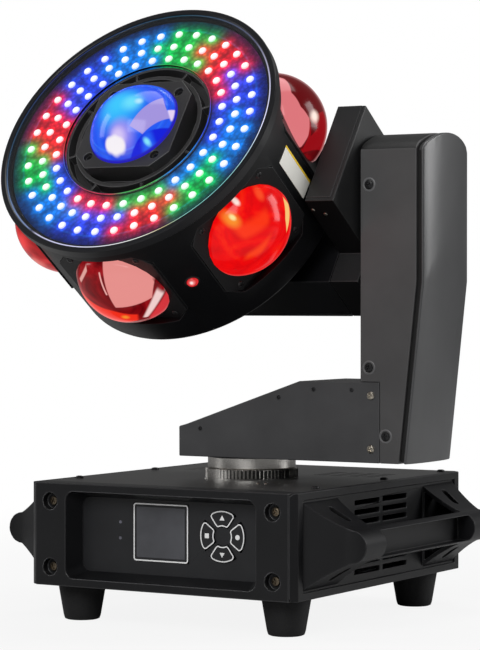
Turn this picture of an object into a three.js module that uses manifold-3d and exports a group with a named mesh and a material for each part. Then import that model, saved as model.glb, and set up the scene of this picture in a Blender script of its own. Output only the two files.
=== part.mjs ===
// A moving-head LED effect light: a base with carrying handles, a one-armed yoke that pans on it,
// and a drum-shaped lamp head that tilts on the arm. Millimetres, Z up, display side towards -Y.
import * as THREE from "three";
import { ConvexGeometry } from "three/addons/geometries/ConvexGeometry.js";
import { mergeVertices } from "three/addons/utils/BufferGeometryUtils.js";
import Module from "manifold-3d";

// Clearances that many pieces share
const gap = 0.3; // between two pieces that are screwed or clipped together
const runningGap = 0.5; // between a turning piece and what carries it
const overrun = 2; // how far a cutter runs past the face it cuts
const cornerWeld = 1e-4; // corners nearer than this are one

// Sides that round forms are cut into
const largeSides = 36;
const middleSides = 24;
const smallSides = 12;
const screwHoleSides = 8;

// Sizes of the base
const baseWidth = 270;
const baseDepth = 314;
const baseHeight = 90.6;
const footHeight = 32.7;
const sideThickness = 6;
const cornerChamfer = 5.5;
const sheet = 2;
const bezelDepth = 20;

// Sizes of the handles: hollow brackets, open towards the grip's middle, and the grip
const sideFieldMargin = 6.5;
const sideFieldEnd = 14;
const sideFieldRecess = 2;
const gripRadius = 14;
const gripReach = 34.5;
const gripRecessHeight = 22.6;
const gripRecessDepth = 11.8;
const bracketFromEnd = 15; // of the base
const bracketRootWidth = 62;
const bracketTipInset = 20; // on the bracket's outer side
const bracketTipOutset = 6; // on its inner side
const bracketWaistReach = 20; // where the bracket's curved edge is drawn in
const bracketWaistHeight = 44;
const bracketWall = 4.5;
const bracketSlotWidth = 8;
const bracketSlotFromPanel = 8.5;
const bracketSlotRun = 10.5;
const bracketSlotSkew = 4;
const bracketSlotFromEdge = 35;
const bracketSlotFromMiddle = 10;

// Sizes of the vents: rows of slots in two columns
const ventRows = 8;
const ventFromField = 4.4;
const ventShare = 0.51; // of a row
const ventLength = 46;
const ventBridge = 6;

// Sizes of the front bezel
const recessFromSide = 32;
const recessFromEdge = 7.1;
const recessSlope = 5.8;
const recessCorner = 8;
const wellRadius = 7.5;
const wellDepth = 7;
const wellFromSide = 15.7;
const wellFromEdge = 16.3;

// Sizes of the mains and data sockets
const powerInletFromSide = 39;
const dmxOutletFromSide = 57;
const socketPitch = 42;
const socketFlangeX = 15;
const socketFlangeZ = 17;
const socketFlangeThickness = 2;
const socketBarrel = 11;
const socketBarrelLength = 22;
const socketBore = 8.5;
const socketBoreDepth = 15;

// Sizes of the feet
const footTopRadius = 21.5;
const footBottomRadius = 16;
const footRounding = 2;
const footFromSide = 30;
const footFromEnd = 38;

// Sizes of the control panel: fascia, display, four keys and the board they press on
const fasciaMargin = 5;
const fasciaThickness = 2.5;
const displayWidth = 56.3;
const displayFromTop = 2.85;
const displayFromBottom = 11.45;
const displayToKeys = 12.4;
const displayDepth = 8;
const displayStand = 0.6;
const screenMargin = 4;
const screenRecess = 0.5;
const keyRingFromSide = 38.3;
const keyFromDisplayEdge = 3.05;
const keyInnerRadius = 8.5;
const keyHalfAngle = 36; // degrees
const keyStand = 1.2;
const keySkirt = 1;
const keySkirtThickness = 1.4;
const keyTravel = 1.5;
const keyClearance = 0.4;
const boardThickness = 1.6;
const boardInsetX = 11.2;
const boardInsetZ = 2.4;
const postRadius = 3;

// Sizes of the power supply
const supplyFromSide = 44;
const supplyDepth = 92;
const supplyHeadroom = 14.6; // under the pan pulley
const supplyFromRear = 29;
const supplyFoot = 5;

// Sizes of the pan bearing and drive
const panShaftRadius = 18;
const panShaftBore = 12;
const panSleeveRadius = 24;
const panSleeveDepth = 15;
const panSeatHeight = 8;
const panSeatTeeth = 72;
const panSeatRadius = 42.3;
const panSeatToothDepth = 1.4;
const panFlangeRadius = 40;
const panFlangeHeight = 10.8;
const panPulleyRadius = 36;
const panPulleyDrop = 32;
const panMotorHalf = 28;
const panMotorChamfer = 5;
const panMotorFromSide = 37;
const panMotorForward = 38;
const pulleyWidth = 12;
const pulleyLip = 1.2;
const motorPulleyRadius = 9.5;
const motorShaftRadius = 4;
const motorShaftDepth = 12;
const motorTopGap = 3;
const beltThickness = 1.8;
const beltWidth = 9;

// Sizes of the yoke's lower arm: a folded frame between two plates
const yokeHalfDepth = 42.85;
const platesThickness = 2.5;
const lowerReach = 51.2; // from the pan axis to its free end
const lowerHeight = 69.9;
const lowerEndHeight = 27.1;
const lowerSlopeRun = 8;
const lowerSlopeLift = 2.2;
const lowerTopLength = 60.7;
const plateLap = 18.7; // how far the plates reach over the upright arm
const frameWall = 3;

// Sizes of the upright arm: shell, trim and cover, drawn in at the foot and arched at the top
const armInner = 134.8;
const armShellWidth = 54.4;
const armTrimThickness = 4.2;
const armCoverThickness = 6.9;
const armWall = 5;
const armBendBelowTilt = 68;
const armFootIn = 17;
const armPeakAboveTilt = 61;
const archRise = 10;
const armCorner = 5;
const trimInset = 2;
const trimWidth = 6;

// Sizes of the tilt bearing and drive
const tiltRise = 225.4; // of the tilt axis above the yoke's underside
const tiltShaftRadius = 12;
const tiltShaftBore = 8;
const bearingBossRadius = 24;
const bearingBossDepth = 8;
const cableWayHalf = 25;
const cableWayLift = 6;
const cableWayHeight = 50;
const tiltMotorHalf = 21;
const tiltMotorChamfer = 4;
const tiltMotorDrop = 112;
const tiltPulleyFromWall = 4.85;
const tiltPulleyFromTrim = 6.2;
const shaftFlangeRadius = 27;
const shaftFlangeThickness = 4;
const restTilt = 35; // degrees above level

// Sizes of the drum: a round barrel with six flat seats for the side lenses
const faceReach = 153.2; // from the tilt axis to the LED plane
const drumDrop = 31.2; // of its axis below the tilt axis
const drumRadius = 129;
const drumWall = 4;
const drumDepth = 132.7;
const drumBackInset = 29;
const drumBackDepth = 25;
const drumLipWidth = 11;
const lensCount = 6;
const lensTurn = -1.4; // degrees
const lensBack = 61.5;
const seatDepth = 11.5;
const seatThickness = 4;
const seatMargin = 4;

// Sizes of the seven lenses and the plates that hold them
const lensRadius = 42;
const lensDome = 26;
const lensDomeSteps = 4;
const lensBarrel = 6;
const lensFlange = 3;
const lensFlangeThickness = 3;
const plateBesideLens = 6;
const plateEndLens = 4;
const plateChamfer = 13;
const plateThickness = 4;
const plateScrewInset = 8;
const plateScrewEnd = 4;
const plateScrewRadius = 2.2;
const centrePlateBeside = 4;
const centrePlateEnd = 2;
const centrePlateStand = 9;

// Sizes of the front ring, the glass and the LED board
const ringStand = 4.2;
const ringBack = 4;
const ringFront = 5;
const ringLip = 5;
const glassEdge = 5.6;
const glassThickness = 2.6;
const glassStand = 0.8;
const glassClearance = 0.5;
const ledBoardEdge = 1;
const ledHeight = 1.6;
const ledHalf = 2.6;
const ledRings = [ // share: place between the hub and the board's edge; turn: share of a LED's step
  { share: 0.72, count: 36, turn: 0 },
  { share: 0.45, count: 36, turn: 0 },
  { share: 0.19, count: 30, turn: 0.5 },
];

// Sizes of the ribbed hub in the middle of the face
const hubRadius = 70.5;
const hubFlange = 5.5;
const hubChannel = 9.5;
const hubRingWidth = 4;
const hubFloor = 14;
const hubFloorThickness = 3;
const hubRibs = 8;
const hubRibWidth = 2.4;

// Sizes of the light engine: hollow LED carrier and finned heat sink
const carrierApothem = 62;
const carrierWall = 6;
const carrierLength = 78;
const sinkInset = 12;
const sinkFins = 8;
const sinkPlate = 5;
const finThickness = 3;

// Sizes of the neck, the rear housing, its vented cover and the fan
const neckWidth = 28;
const neckFromArm = 2.8;
const neckForward = 50.8; // from the barrel's back edge
const neckBelowDrum = 18;
const headTopAboveDrum = 86;
const housingBesideDrum = 70.9;
const housingBelowDrum = 48.8;
const housingDepth = 53.5;
const housingCut = 26;
const housingWall = 3;
const rearCoverThickness = 3;
const windowHalf = 22;
const fanRadius = 37;
const fanHubRadius = 15;
const fanBlades = 7;
const fanThickness = 14;
const bladeThickness = 2;
const bladePitch = 35; // degrees
const fanPinRadius = 3;
const grilleClearance = 3;
const grilleBar = 4;
const grilleRingShare = 0.7; // of the grille's radius

// Solid helpers
const wasm = await Module();
wasm.setup();

// A three.js geometry as a manifold solid.
function solidOf(geometry) {
  const bare = geometry.clone();
  bare.deleteAttribute("normal");
  bare.deleteAttribute("uv");
  const merged = mergeVertices(bare, cornerWeld);
  const triVerts = merged.index.array;
  const mesh = { numProp: 3, vertProperties: merged.attributes.position.array, triVerts };
  return new wasm.Manifold(new wasm.Mesh(mesh));
}

// A manifold solid as a three.js geometry with flat-shaded faces.
function geometryOf(solid) {
  const mesh = solid.getMesh();
  const geometry = new THREE.BufferGeometry();
  geometry.setAttribute("position", new THREE.BufferAttribute(mesh.vertProperties, 3));
  geometry.setIndex(new THREE.BufferAttribute(mesh.triVerts, 1));
  const flat = geometry.toNonIndexed();
  flat.computeVertexNormals();
  return flat;
}

const cut = (body, ...tools) => tools.reduce((left, tool) => left.subtract(tool), body);
const join = (body, ...more) => more.reduce((sum, one) => sum.add(one), body);

// A box between two values along each axis, given in any order.
function box(xa, xb, ya, yb, za, zb) {
  const shape = new THREE.BoxGeometry(Math.abs(xb - xa), Math.abs(yb - ya), Math.abs(zb - za));
  return solidOf(shape.translate((xa + xb) / 2, (ya + yb) / 2, (za + zb) / 2));
}

// The turn that lays an extrusion along an axis, for an outline given in the other two axes:
// (y, z) for x, (x, z) for y and (x, y) for z.
const alongAxis = {
  x: new THREE.Matrix4().makeBasis(
    new THREE.Vector3(0, 1, 0), new THREE.Vector3(0, 0, 1), new THREE.Vector3(1, 0, 0)),
  y: new THREE.Matrix4().makeBasis(
    new THREE.Vector3(1, 0, 0), new THREE.Vector3(0, 0, 1), new THREE.Vector3(0, -1, 0)),
  z: new THREE.Matrix4(),
};

// An outline (a list of pairs, or a THREE.Shape) extruded along an axis between two values.
function prism(outline, axis, from, to, curveSegments = smallSides / 2) {
  const shape = outline instanceof THREE.Shape
    ? outline
    : new THREE.Shape(outline.map(([a, b]) => new THREE.Vector2(a, b)));
  const depth = Math.abs(to - from);
  const body = new THREE.ExtrudeGeometry(shape, { depth, bevelEnabled: false, curveSegments });
  body.translate(0, 0, axis === "y" ? -Math.max(from, to) : Math.min(from, to));
  return solidOf(body.applyMatrix4(alongAxis[axis]));
}

// A round bar along an axis; the centre is given in the other two axes.
function bar(radius, axis, from, to, [a, b] = [0, 0], sides = middleSides) {
  const shape = new THREE.Shape();
  shape.absarc(a, b, radius, 0, 2 * Math.PI, false);
  return prism(shape, axis, from, to, sides / 2);
}

const tube = (outer, inner, axis, from, to, centre = [0, 0], sides = middleSides) =>
  cut(bar(outer, axis, from, to, centre, sides),
    bar(inner, axis, Math.min(from, to) - overrun, Math.max(from, to) + overrun, centre, sides));

// A profile of (radius, height) pairs turned about the Y axis; height runs along Y.
function turned(profile, sides) {
  const points = profile.map(([r, h]) => new THREE.Vector2(r, h));
  return solidOf(new THREE.LatheGeometry(points, sides));
}

// The same profile turned about the Z axis.
const turnedUpright = (profile, sides) => turned(profile, sides).rotate([90, 0, 0]);

const quarterTurn = Math.PI / 2;
const degrees = THREE.MathUtils.degToRad;

// A tapered block between two rounded rectangles, one in front of the other along Y.
function funnel(front, back, centreZ) {
  const points = [];
  const arcSteps = smallSides / 4;
  for (const { halfX, halfZ, y, r } of [front, back])
    for (const [sx, sz, start] of [[1, 1, 0], [-1, 1, 1], [-1, -1, 2], [1, -1, 3]])
      for (let i = 0; i <= arcSteps; i++) {
        const a = (start + i / arcSteps) * quarterTurn;
        const x = sx * (halfX - r) + r * Math.cos(a);
        points.push(new THREE.Vector3(x, y, centreZ + sz * (halfZ - r) + r * Math.sin(a)));
      }
  return solidOf(new ConvexGeometry(points));
}

// Finishes
function finish(color, roughness, metalness, more = {}) {
  return new THREE.MeshStandardMaterial({ color, roughness, metalness, ...more });
}
const blackPaint = finish(0x17181a, 0.55, 0.2);
const blackMoulding = finish(0x131416, 0.5, 0);
const greyPaint = finish(0x3a3b3d, 0.6, 0.2);
const blackPlastic = finish(0x101113, 0.45, 0);
const rubber = finish(0x0c0c0d, 0.85, 0);
const steel = finish(0x8f9296, 0.35, 0.9);
const aluminium = finish(0xa9abad, 0.4, 0.8);
const clearGlass = finish(0xdfe8ee, 0.05, 0, { transparent: true, opacity: 0.3 });
const blueGlass = finish(0x2a4dff, 0.05, 0);
const redGlass = finish(0xe0262a, 0.05, 0);
const boardGreen = finish(0x0f1f30, 0.5, 0);
const screenGrey = finish(0x4a4a4f, 0.2, 0);
const beltRubber = finish(0x1a1a1a, 0.8, 0);

const group = new THREE.Group();
const light = new THREE.Group();
const base = new THREE.Group();
const yoke = new THREE.Group();
const head = new THREE.Group();
group.add(light);
light.add(base, yoke);
yoke.add(head);

function piece(parent, name, solid, material) {
  const mesh = new THREE.Mesh(geometryOf(solid), material);
  mesh.name = name;
  parent.add(mesh);
  return mesh;
}

// Places that the base's pieces share
const baseBottom = footHeight;
const baseTop = footHeight + baseHeight;
const baseMiddle = (baseBottom + baseTop) / 2;
const outerX = baseWidth / 2;
const innerX = outerX - sideThickness;
const frontY = -baseDepth / 2;
const rearY = baseDepth / 2;
const bezelBack = frontY + bezelDepth;
const plateTop = baseBottom + sheet;

// One side of the base, for +X: a panel with a sunk, vented field, and a grip on two brackets
function sidePanel() {
  const fieldX = outerX - sideFieldRecess;
  const fieldHeight = baseHeight - 2 * sideFieldMargin;
  let body = cut(
    prism([
      [innerX, frontY], [outerX, frontY + cornerChamfer],
      [outerX, rearY - cornerChamfer], [innerX, rearY],
    ], "z", baseBottom, baseTop),
    box(fieldX, outerX + overrun, frontY + sideFieldEnd, rearY - sideFieldEnd,
      baseMiddle - fieldHeight / 2, baseMiddle + fieldHeight / 2));
  const ventPitch = (fieldHeight - 2 * ventFromField) / ventRows;
  const ventHeight = ventShare * ventPitch;
  for (let row = 0; row < ventRows; row++)
    for (const column of [-1, 1]) {
      const z = baseMiddle + (row - (ventRows - 1) / 2) * ventPitch;
      const near = (column * ventBridge) / 2;
      body = cut(body, box(innerX - overrun, outerX + overrun, near, near + column * ventLength,
        z - ventHeight / 2, z + ventHeight / 2));
    }

  // A bracket narrows from the panel to the grip in both views. It is hollow on its inner side,
  // and a slot for a lashing strap runs through its upper and lower flange.
  const rootX = fieldX - sideFieldRecess;
  const gripX = outerX + gripReach;
  const rootOuter = rearY - bracketFromEnd;
  const rootInner = rootOuter - bracketRootWidth;
  const tipOuter = rootOuter - bracketTipInset;
  const tipInner = rootInner + bracketTipOutset;
  const sideView = (inset) => {
    const root = fieldHeight / 2 - gap - inset;
    const waist = bracketWaistHeight / 2 - inset;
    const tip = gripRadius - inset;
    const shape = new THREE.Shape();
    shape.moveTo(rootX, baseMiddle - root);
    shape.quadraticCurveTo(rootX + bracketWaistReach, baseMiddle - waist, gripX, baseMiddle - tip);
    shape.lineTo(gripX, baseMiddle + tip);
    shape.quadraticCurveTo(rootX + bracketWaistReach, baseMiddle + waist, rootX, baseMiddle + root);
    return prism(shape, "y", tipInner - bracketRootWidth, rootOuter);
  };
  const slotX = outerX + bracketSlotFromPanel;
  const slotY = rootOuter - bracketSlotFromEdge;
  const slot = bar(bracketSlotWidth / 2, "z", baseBottom, baseTop, [slotX, slotY], smallSides)
    .add(bar(bracketSlotWidth / 2, "z", baseBottom, baseTop,
      [slotX + bracketSlotRun, slotY - bracketSlotSkew], smallSides)).hull();
  const flangesOnly = cut(slot, box(rootX, gripX, rootInner, rootOuter,
    baseMiddle - bracketSlotFromMiddle, baseMiddle + bracketSlotFromMiddle));
  const outside = sideView(0).intersect(prism(
    [[rootX, rootInner], [gripX, tipInner], [gripX, tipOuter], [rootX, rootOuter]],
    "z", baseBottom, baseTop));
  const hollow = sideView(bracketWall).intersect(prism(
    [
      [outerX, rootInner - overrun], [gripX, rootInner - overrun], [gripX, tipOuter - bracketWall],
      [outerX, rootOuter - bracketWall - bracketTipInset * (outerX - rootX) / (gripX - rootX)],
    ], "z", baseBottom, baseTop));
  const bracket = cut(outside, hollow, flangesOnly);
  body = join(body, bracket, bracket.mirror([0, 1, 0]),
    bar(gripRadius, "y", -tipOuter, tipOuter, [gripX, baseMiddle]));
  const recessHalf = tipInner - gap;
  const chord = Math.sqrt(gripRadius ** 2 - (gripRecessHeight / 2) ** 2);
  return cut(body, box(gripX + chord - gripRecessDepth, gripX + gripRadius + overrun,
    -recessHalf, recessHalf, baseMiddle - gripRecessHeight / 2, baseMiddle + gripRecessHeight / 2));
}
const rightSide = sidePanel();
piece(base, "base_side_right", rightSide, blackMoulding);
piece(base, "base_side_left", rightSide.mirror([1, 0, 0]), blackMoulding);

// Front bezel: a thick moulded frame round the sunk control panel
const recessHalfX = innerX - recessFromSide;
const recessHalfZ = baseHeight / 2 - recessFromEdge;
const slopeOver = (recessSlope * overrun) / bezelDepth; // the slope carried on past each face
const recessTool = funnel(
  { halfX: recessHalfX + slopeOver, halfZ: recessHalfZ + slopeOver, y: frontY - overrun, r: recessCorner },
  {
    halfX: recessHalfX - recessSlope - slopeOver, halfZ: recessHalfZ - recessSlope - slopeOver,
    y: bezelBack + overrun, r: recessCorner,
  },
  baseMiddle);
let bezel = cut(box(-innerX, innerX, frontY, bezelBack, baseBottom, baseTop), recessTool);
for (const sx of [-1, 1])
  for (const sz of [-1, 1])
    bezel = cut(bezel, bar(wellRadius, "y", frontY - overrun, frontY + wellDepth,
      [sx * (innerX - wellFromSide), baseMiddle + sz * (baseHeight / 2 - wellFromEdge)], smallSides));
piece(base, "base_front_bezel", bezel, blackMoulding);

// Mains and data sockets through the rear panel
const powerInletX = innerX - powerInletFromSide;
const dmxOutletX = dmxOutletFromSide - innerX;
const sockets = [
  { name: "power_inlet", x: powerInletX },
  { name: "power_outlet", x: powerInletX - socketPitch },
  { name: "dmx_inlet", x: dmxOutletX + socketPitch },
  { name: "dmx_outlet", x: dmxOutletX },
];
let rearPanel = box(-innerX, innerX, rearY - sheet, rearY, baseBottom, baseTop);
for (const { name, x } of sockets) {
  const at = [x, baseMiddle];
  rearPanel = cut(rearPanel,
    bar(socketBarrel + gap, "y", rearY - sheet - overrun, rearY + overrun, at, smallSides));
  const flange = box(x - socketFlangeX, x + socketFlangeX, rearY, rearY + socketFlangeThickness,
    baseMiddle - socketFlangeZ, baseMiddle + socketFlangeZ);
  const barrel = bar(socketBarrel, "y", rearY - socketBarrelLength, rearY + gap, at, smallSides);
  const bore = bar(socketBore, "y", rearY - socketBoreDepth, rearY + overrun + socketFlangeThickness, at,
    smallSides);
  piece(base, name, cut(join(flange, barrel), bore), blackPlastic);
}
piece(base, "base_rear_panel", rearPanel, blackPaint);

// Top cover, with the hole for the pan bearing, and bottom plate
piece(base, "base_top_cover",
  cut(box(-innerX, innerX, bezelBack, rearY - sheet, baseTop - sheet, baseTop),
    bar(panSleeveRadius + gap, "z", baseTop - sheet - overrun, baseTop + overrun)),
  blackPaint);
piece(base, "base_bottom_plate",
  box(-innerX, innerX, bezelBack, rearY - sheet, baseBottom, baseBottom + sheet), blackPaint);

// Four rubber feet
const footProfile = [
  [0, 0], [footBottomRadius - footRounding, 0], [footBottomRadius, footRounding],
  [footTopRadius, footHeight], [0, footHeight],
];
for (const [name, sx, sy] of [
  ["foot_front_left", -1, -1], ["foot_front_right", 1, -1],
  ["foot_rear_left", -1, 1], ["foot_rear_right", 1, 1],
])
  piece(base, name, turnedUpright(footProfile, middleSides), rubber)
    .position.set(sx * (outerX - footFromSide), sy * (rearY - footFromEnd), 0);

// Control panel behind the bezel: fascia, display, four keys and the board they press on
const fasciaBack = bezelBack + fasciaThickness;
const keySkirtFront = fasciaBack + gap;
const keyBack = keySkirtFront + keySkirtThickness;
const boardFront = keyBack + keyTravel + gap;
const panelHalfX = recessHalfX - recessSlope;
const panelHalfZ = recessHalfZ - recessSlope;
const displayTop = baseMiddle + panelHalfZ - displayFromTop;
const displayBottom = baseMiddle - panelHalfZ + displayFromBottom;
const keyRingX = panelHalfX - keyRingFromSide;
const keyRingZ = (displayTop + displayBottom) / 2;
const keyOuterRadius = (displayTop - displayBottom) / 2 - keyFromDisplayEdge;
const displayRight = keyRingX - keyOuterRadius - displayToKeys;
const displayLeft = displayRight - displayWidth;

// One key's outline, a slice of a ring about a direction, grown all round by a margin.
function keyOutline(direction, margin) {
  const shape = new THREE.Shape();
  const outer = keyOuterRadius + margin;
  const inner = keyInnerRadius - margin;
  const spread = degrees(keyHalfAngle) + margin / keyOuterRadius;
  shape.absarc(keyRingX, keyRingZ, outer, direction - spread, direction + spread, false);
  shape.absarc(keyRingX, keyRingZ, inner, direction + spread, direction - spread, true);
  shape.closePath();
  return shape;
}
const keys = [
  { name: "key_right", direction: 0 },
  { name: "key_up", direction: quarterTurn },
  { name: "key_left", direction: 2 * quarterTurn },
  { name: "key_down", direction: 3 * quarterTurn },
];
const fasciaHalfX = panelHalfX + fasciaMargin;
const fasciaHalfZ = panelHalfZ + fasciaMargin;
let fascia = cut(
  box(-fasciaHalfX, fasciaHalfX, bezelBack, fasciaBack, baseMiddle - fasciaHalfZ, baseMiddle + fasciaHalfZ),
  box(displayLeft - gap, displayRight + gap, bezelBack - overrun, fasciaBack + overrun,
    displayBottom - gap, displayTop + gap));
for (const { name, direction } of keys) {
  fascia = cut(fascia, prism(keyOutline(direction, keyClearance), "y",
    bezelBack - overrun, fasciaBack + overrun));
  const cap = prism(keyOutline(direction, 0), "y", bezelBack - keyStand, keyBack);
  const skirt = prism(keyOutline(direction, keySkirt), "y", keySkirtFront, keyBack);
  piece(base, name, join(cap, skirt), blackPlastic);
}
piece(base, "control_fascia", fascia, blackPlastic);
piece(base, "display_module",
  cut(box(displayLeft, displayRight, bezelBack - displayStand, bezelBack - displayStand + displayDepth,
    displayBottom, displayTop),
  box(displayLeft + screenMargin, displayRight - screenMargin,
    bezelBack - displayStand - overrun, bezelBack - displayStand + screenRecess,
    displayBottom + screenMargin, displayTop - screenMargin)),
  screenGrey);

const boardHalfX = fasciaHalfX - boardInsetX;
const boardHalfZ = fasciaHalfZ - boardInsetZ;
let board = box(-boardHalfX, boardHalfX, boardFront, boardFront + boardThickness,
  baseMiddle - boardHalfZ, baseMiddle + boardHalfZ);
board = cut(board, box(displayLeft - gap, displayRight + gap, boardFront - overrun,
  boardFront + boardThickness + overrun, displayBottom - gap, displayTop + gap));
for (const sx of [-1, 1])
  for (const sz of [-1, 1])
    board = join(board, bar(postRadius, "y", fasciaBack, boardFront + gap,
      [sx * (boardHalfX - 2 * postRadius), baseMiddle + sz * (boardHalfZ - 2 * postRadius)],
      screwHoleSides));
piece(base, "control_board", board, boardGreen);

// Power supply on the floor of the base
const panPulleyBottom = baseTop - panPulleyDrop;
const panPulleyTop = panPulleyBottom + pulleyWidth;
const supplyHalf = innerX - supplyFromSide;
const supplyBack = rearY - supplyFromRear;
const supplyBody = box(-supplyHalf, supplyHalf, supplyBack - supplyDepth, supplyBack,
  plateTop, panPulleyBottom - supplyHeadroom);
const supplyFlange = box(-supplyHalf - supplyFoot, supplyHalf + supplyFoot,
  supplyBack - supplyDepth + 2 * supplyFoot, supplyBack - 2 * supplyFoot, plateTop, plateTop + sheet);
piece(base, "power_supply", join(supplyBody, supplyFlange), aluminium);

// Pan seat: the toothed collar and bearing sleeve that the yoke turns in
const toothOutline = [];
for (let i = 0; i < 2 * panSeatTeeth; i++) {
  const r = panSeatRadius - (i % 2) * panSeatToothDepth;
  const a = (i / panSeatTeeth) * Math.PI;
  toothOutline.push([r * Math.cos(a), r * Math.sin(a)]);
}
const panBore = panShaftRadius + runningGap;
const panSeatTop = baseTop + panSeatHeight;
piece(base, "pan_seat",
  cut(join(prism(toothOutline, "z", baseTop, panSeatTop),
    bar(panSleeveRadius, "z", baseTop - panSleeveDepth, baseTop + overrun)),
  bar(panBore, "z", baseTop - panSleeveDepth - overrun, panSeatTop + overrun)),
  steel);

// Pan hub: flange under the yoke, hollow shaft and driven pulley in one turning unit
const yokeBottom = panSeatTop + runningGap + panFlangeHeight;
piece(yoke, "pan_hub",
  cut(join(
    bar(panFlangeRadius, "z", panSeatTop + runningGap, yokeBottom, [0, 0], largeSides),
    bar(panShaftRadius, "z", panPulleyBottom, yokeBottom),
    bar(panPulleyRadius, "z", panPulleyBottom + pulleyLip, panPulleyTop - pulleyLip)),
  bar(panShaftBore, "z", panPulleyBottom - overrun, yokeBottom + overrun)),
  steel);

// A toothed belt's loop round two pulleys, as an outline with its hole, in the pulleys' plane.
function beltLoop(from, fromRadius, to, toRadius, thickness) {
  const heading = Math.atan2(to[1] - from[1], to[0] - from[0]);
  const distance = Math.hypot(to[0] - from[0], to[1] - from[1]);
  const wrap = Math.acos((fromRadius - toRadius) / distance);
  const track = (path, grow) => {
    path.absarc(from[0], from[1], fromRadius + grow, heading + wrap, heading - wrap + 2 * Math.PI, false);
    path.absarc(to[0], to[1], toRadius + grow, heading - wrap, heading + wrap, false);
    path.closePath();
    return path;
  };
  const loop = track(new THREE.Shape(), thickness);
  loop.holes.push(track(new THREE.Path(), 0));
  return loop;
}

// A motor's square section with cut corners, in the plane across its shaft.
function motorOutline([x, y], half, chamfer) {
  const near = half - chamfer;
  return [
    [x - half, y - near], [x - near, y - half], [x + near, y - half], [x + half, y - near],
    [x + half, y + near], [x + near, y + half], [x - near, y + half], [x - half, y + near],
  ];
}

// Pan motor, its pulley and the belt
const panMotorAt = [panMotorFromSide - innerX, -panMotorForward];
const panMotorTop = panPulleyBottom - motorTopGap;
piece(base, "pan_motor",
  cut(prism(motorOutline(panMotorAt, panMotorHalf, panMotorChamfer), "z", plateTop, panMotorTop),
    bar(motorShaftRadius + gap, "z", panMotorTop - motorShaftDepth - gap, panMotorTop + overrun,
      panMotorAt, smallSides)),
  steel);
piece(base, "pan_motor_pulley",
  join(bar(motorShaftRadius, "z", panMotorTop - motorShaftDepth, panPulleyTop, panMotorAt, smallSides),
    bar(motorPulleyRadius, "z", panPulleyBottom, panPulleyTop, panMotorAt)),
  aluminium);
const panBeltZ = (panPulleyBottom + panPulleyTop) / 2;
piece(base, "pan_belt",
  prism(beltLoop([0, 0], panPulleyRadius + gap, panMotorAt, motorPulleyRadius + gap, beltThickness), "z",
    panBeltZ - beltWidth / 2, panBeltZ + beltWidth / 2, smallSides),
  beltRubber);

// Lower arm of the yoke: a folded frame between a front and a rear plate
const lowerLeft = -lowerReach;
const lowerRight = armInner + plateLap;
const lowerTop = yokeBottom + lowerHeight;
const lowerLeftTop = yokeBottom + lowerEndHeight;
const lowerSlopeStart = lowerLeft + lowerSlopeRun;
const lowerSlopeEnd = armInner - lowerTopLength;
const lowerOutline = (right) => [
  [lowerLeft, yokeBottom], [right, yokeBottom], [right, lowerTop], [lowerSlopeEnd, lowerTop],
  [lowerSlopeStart, lowerLeftTop + lowerSlopeLift], [lowerLeft, lowerLeftTop],
];
const frameRight = armInner - gap;
const frameInside = [
  [lowerLeft + frameWall, yokeBottom + frameWall], [frameRight + overrun, yokeBottom + frameWall],
  [frameRight + overrun, lowerTop - frameWall], [lowerSlopeEnd + frameWall / 2, lowerTop - frameWall],
  [lowerLeft + frameWall, lowerLeftTop - frameWall],
];
const frameHalf = yokeHalfDepth - platesThickness;
piece(yoke, "yoke_lower_frame",
  cut(prism(lowerOutline(frameRight), "y", -frameHalf, frameHalf),
    prism(frameInside, "y", -frameHalf - overrun, frameHalf + overrun),
    bar(panShaftBore, "z", yokeBottom - overrun, yokeBottom + frameWall + overrun)),
  blackPaint);
piece(yoke, "yoke_front_plate", prism(lowerOutline(lowerRight), "y", -yokeHalfDepth, -frameHalf), blackPaint);
piece(yoke, "yoke_rear_plate", prism(lowerOutline(lowerRight), "y", frameHalf, yokeHalfDepth), blackPaint);

// Upright arm: shell, trim and outer cover, drawn in at the foot and arched at the top
const tiltHeight = yokeBottom + tiltRise;
const armBendHeight = tiltHeight - armBendBelowTilt;
const armPeak = tiltHeight + armPeakAboveTilt;
const shellOuter = armInner + armShellWidth;
const trimOuter = shellOuter + armTrimThickness;
const armOuter = trimOuter + armCoverThickness;

// The arm's side view, (y, z), drawn in all round by an inset.
function armSide(inset, bottom) {
  const half = yokeHalfDepth - inset;
  const shoulder = armPeak - archRise - inset;
  const outline = [[-half, bottom], [half, bottom], [half, shoulder - armCorner]];
  const steps = smallSides;
  for (let i = 0; i <= steps; i++) {
    const share = 1 - (2 * i) / steps;
    outline.push([share * (half - armCorner), shoulder + archRise * (1 - share ** 2)]);
  }
  outline.push([-half, shoulder - armCorner]);
  return outline;
}

// A slab of the arm between two distances from the pan axis, which follow the drawn-in foot.
function armSlab(inner, outer, inset, { innerStraight = false, bottom = yokeBottom } = {}) {
  const drawn = (armFootIn * (armBendHeight - bottom)) / (armBendHeight - yokeBottom);
  const top = armPeak + overrun;
  const outline = [
    [inner - (innerStraight ? 0 : drawn), bottom], [outer - drawn, bottom], [outer, armBendHeight],
    [outer, top], [inner, top],
  ];
  if (!innerStraight) outline.push([inner, armBendHeight]);
  const view = prism(outline, "y", -yokeHalfDepth - overrun, yokeHalfDepth + overrun);
  return view.intersect(prism(armSide(inset, bottom), "x", armInner - overrun, armOuter + overrun));
}

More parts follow.
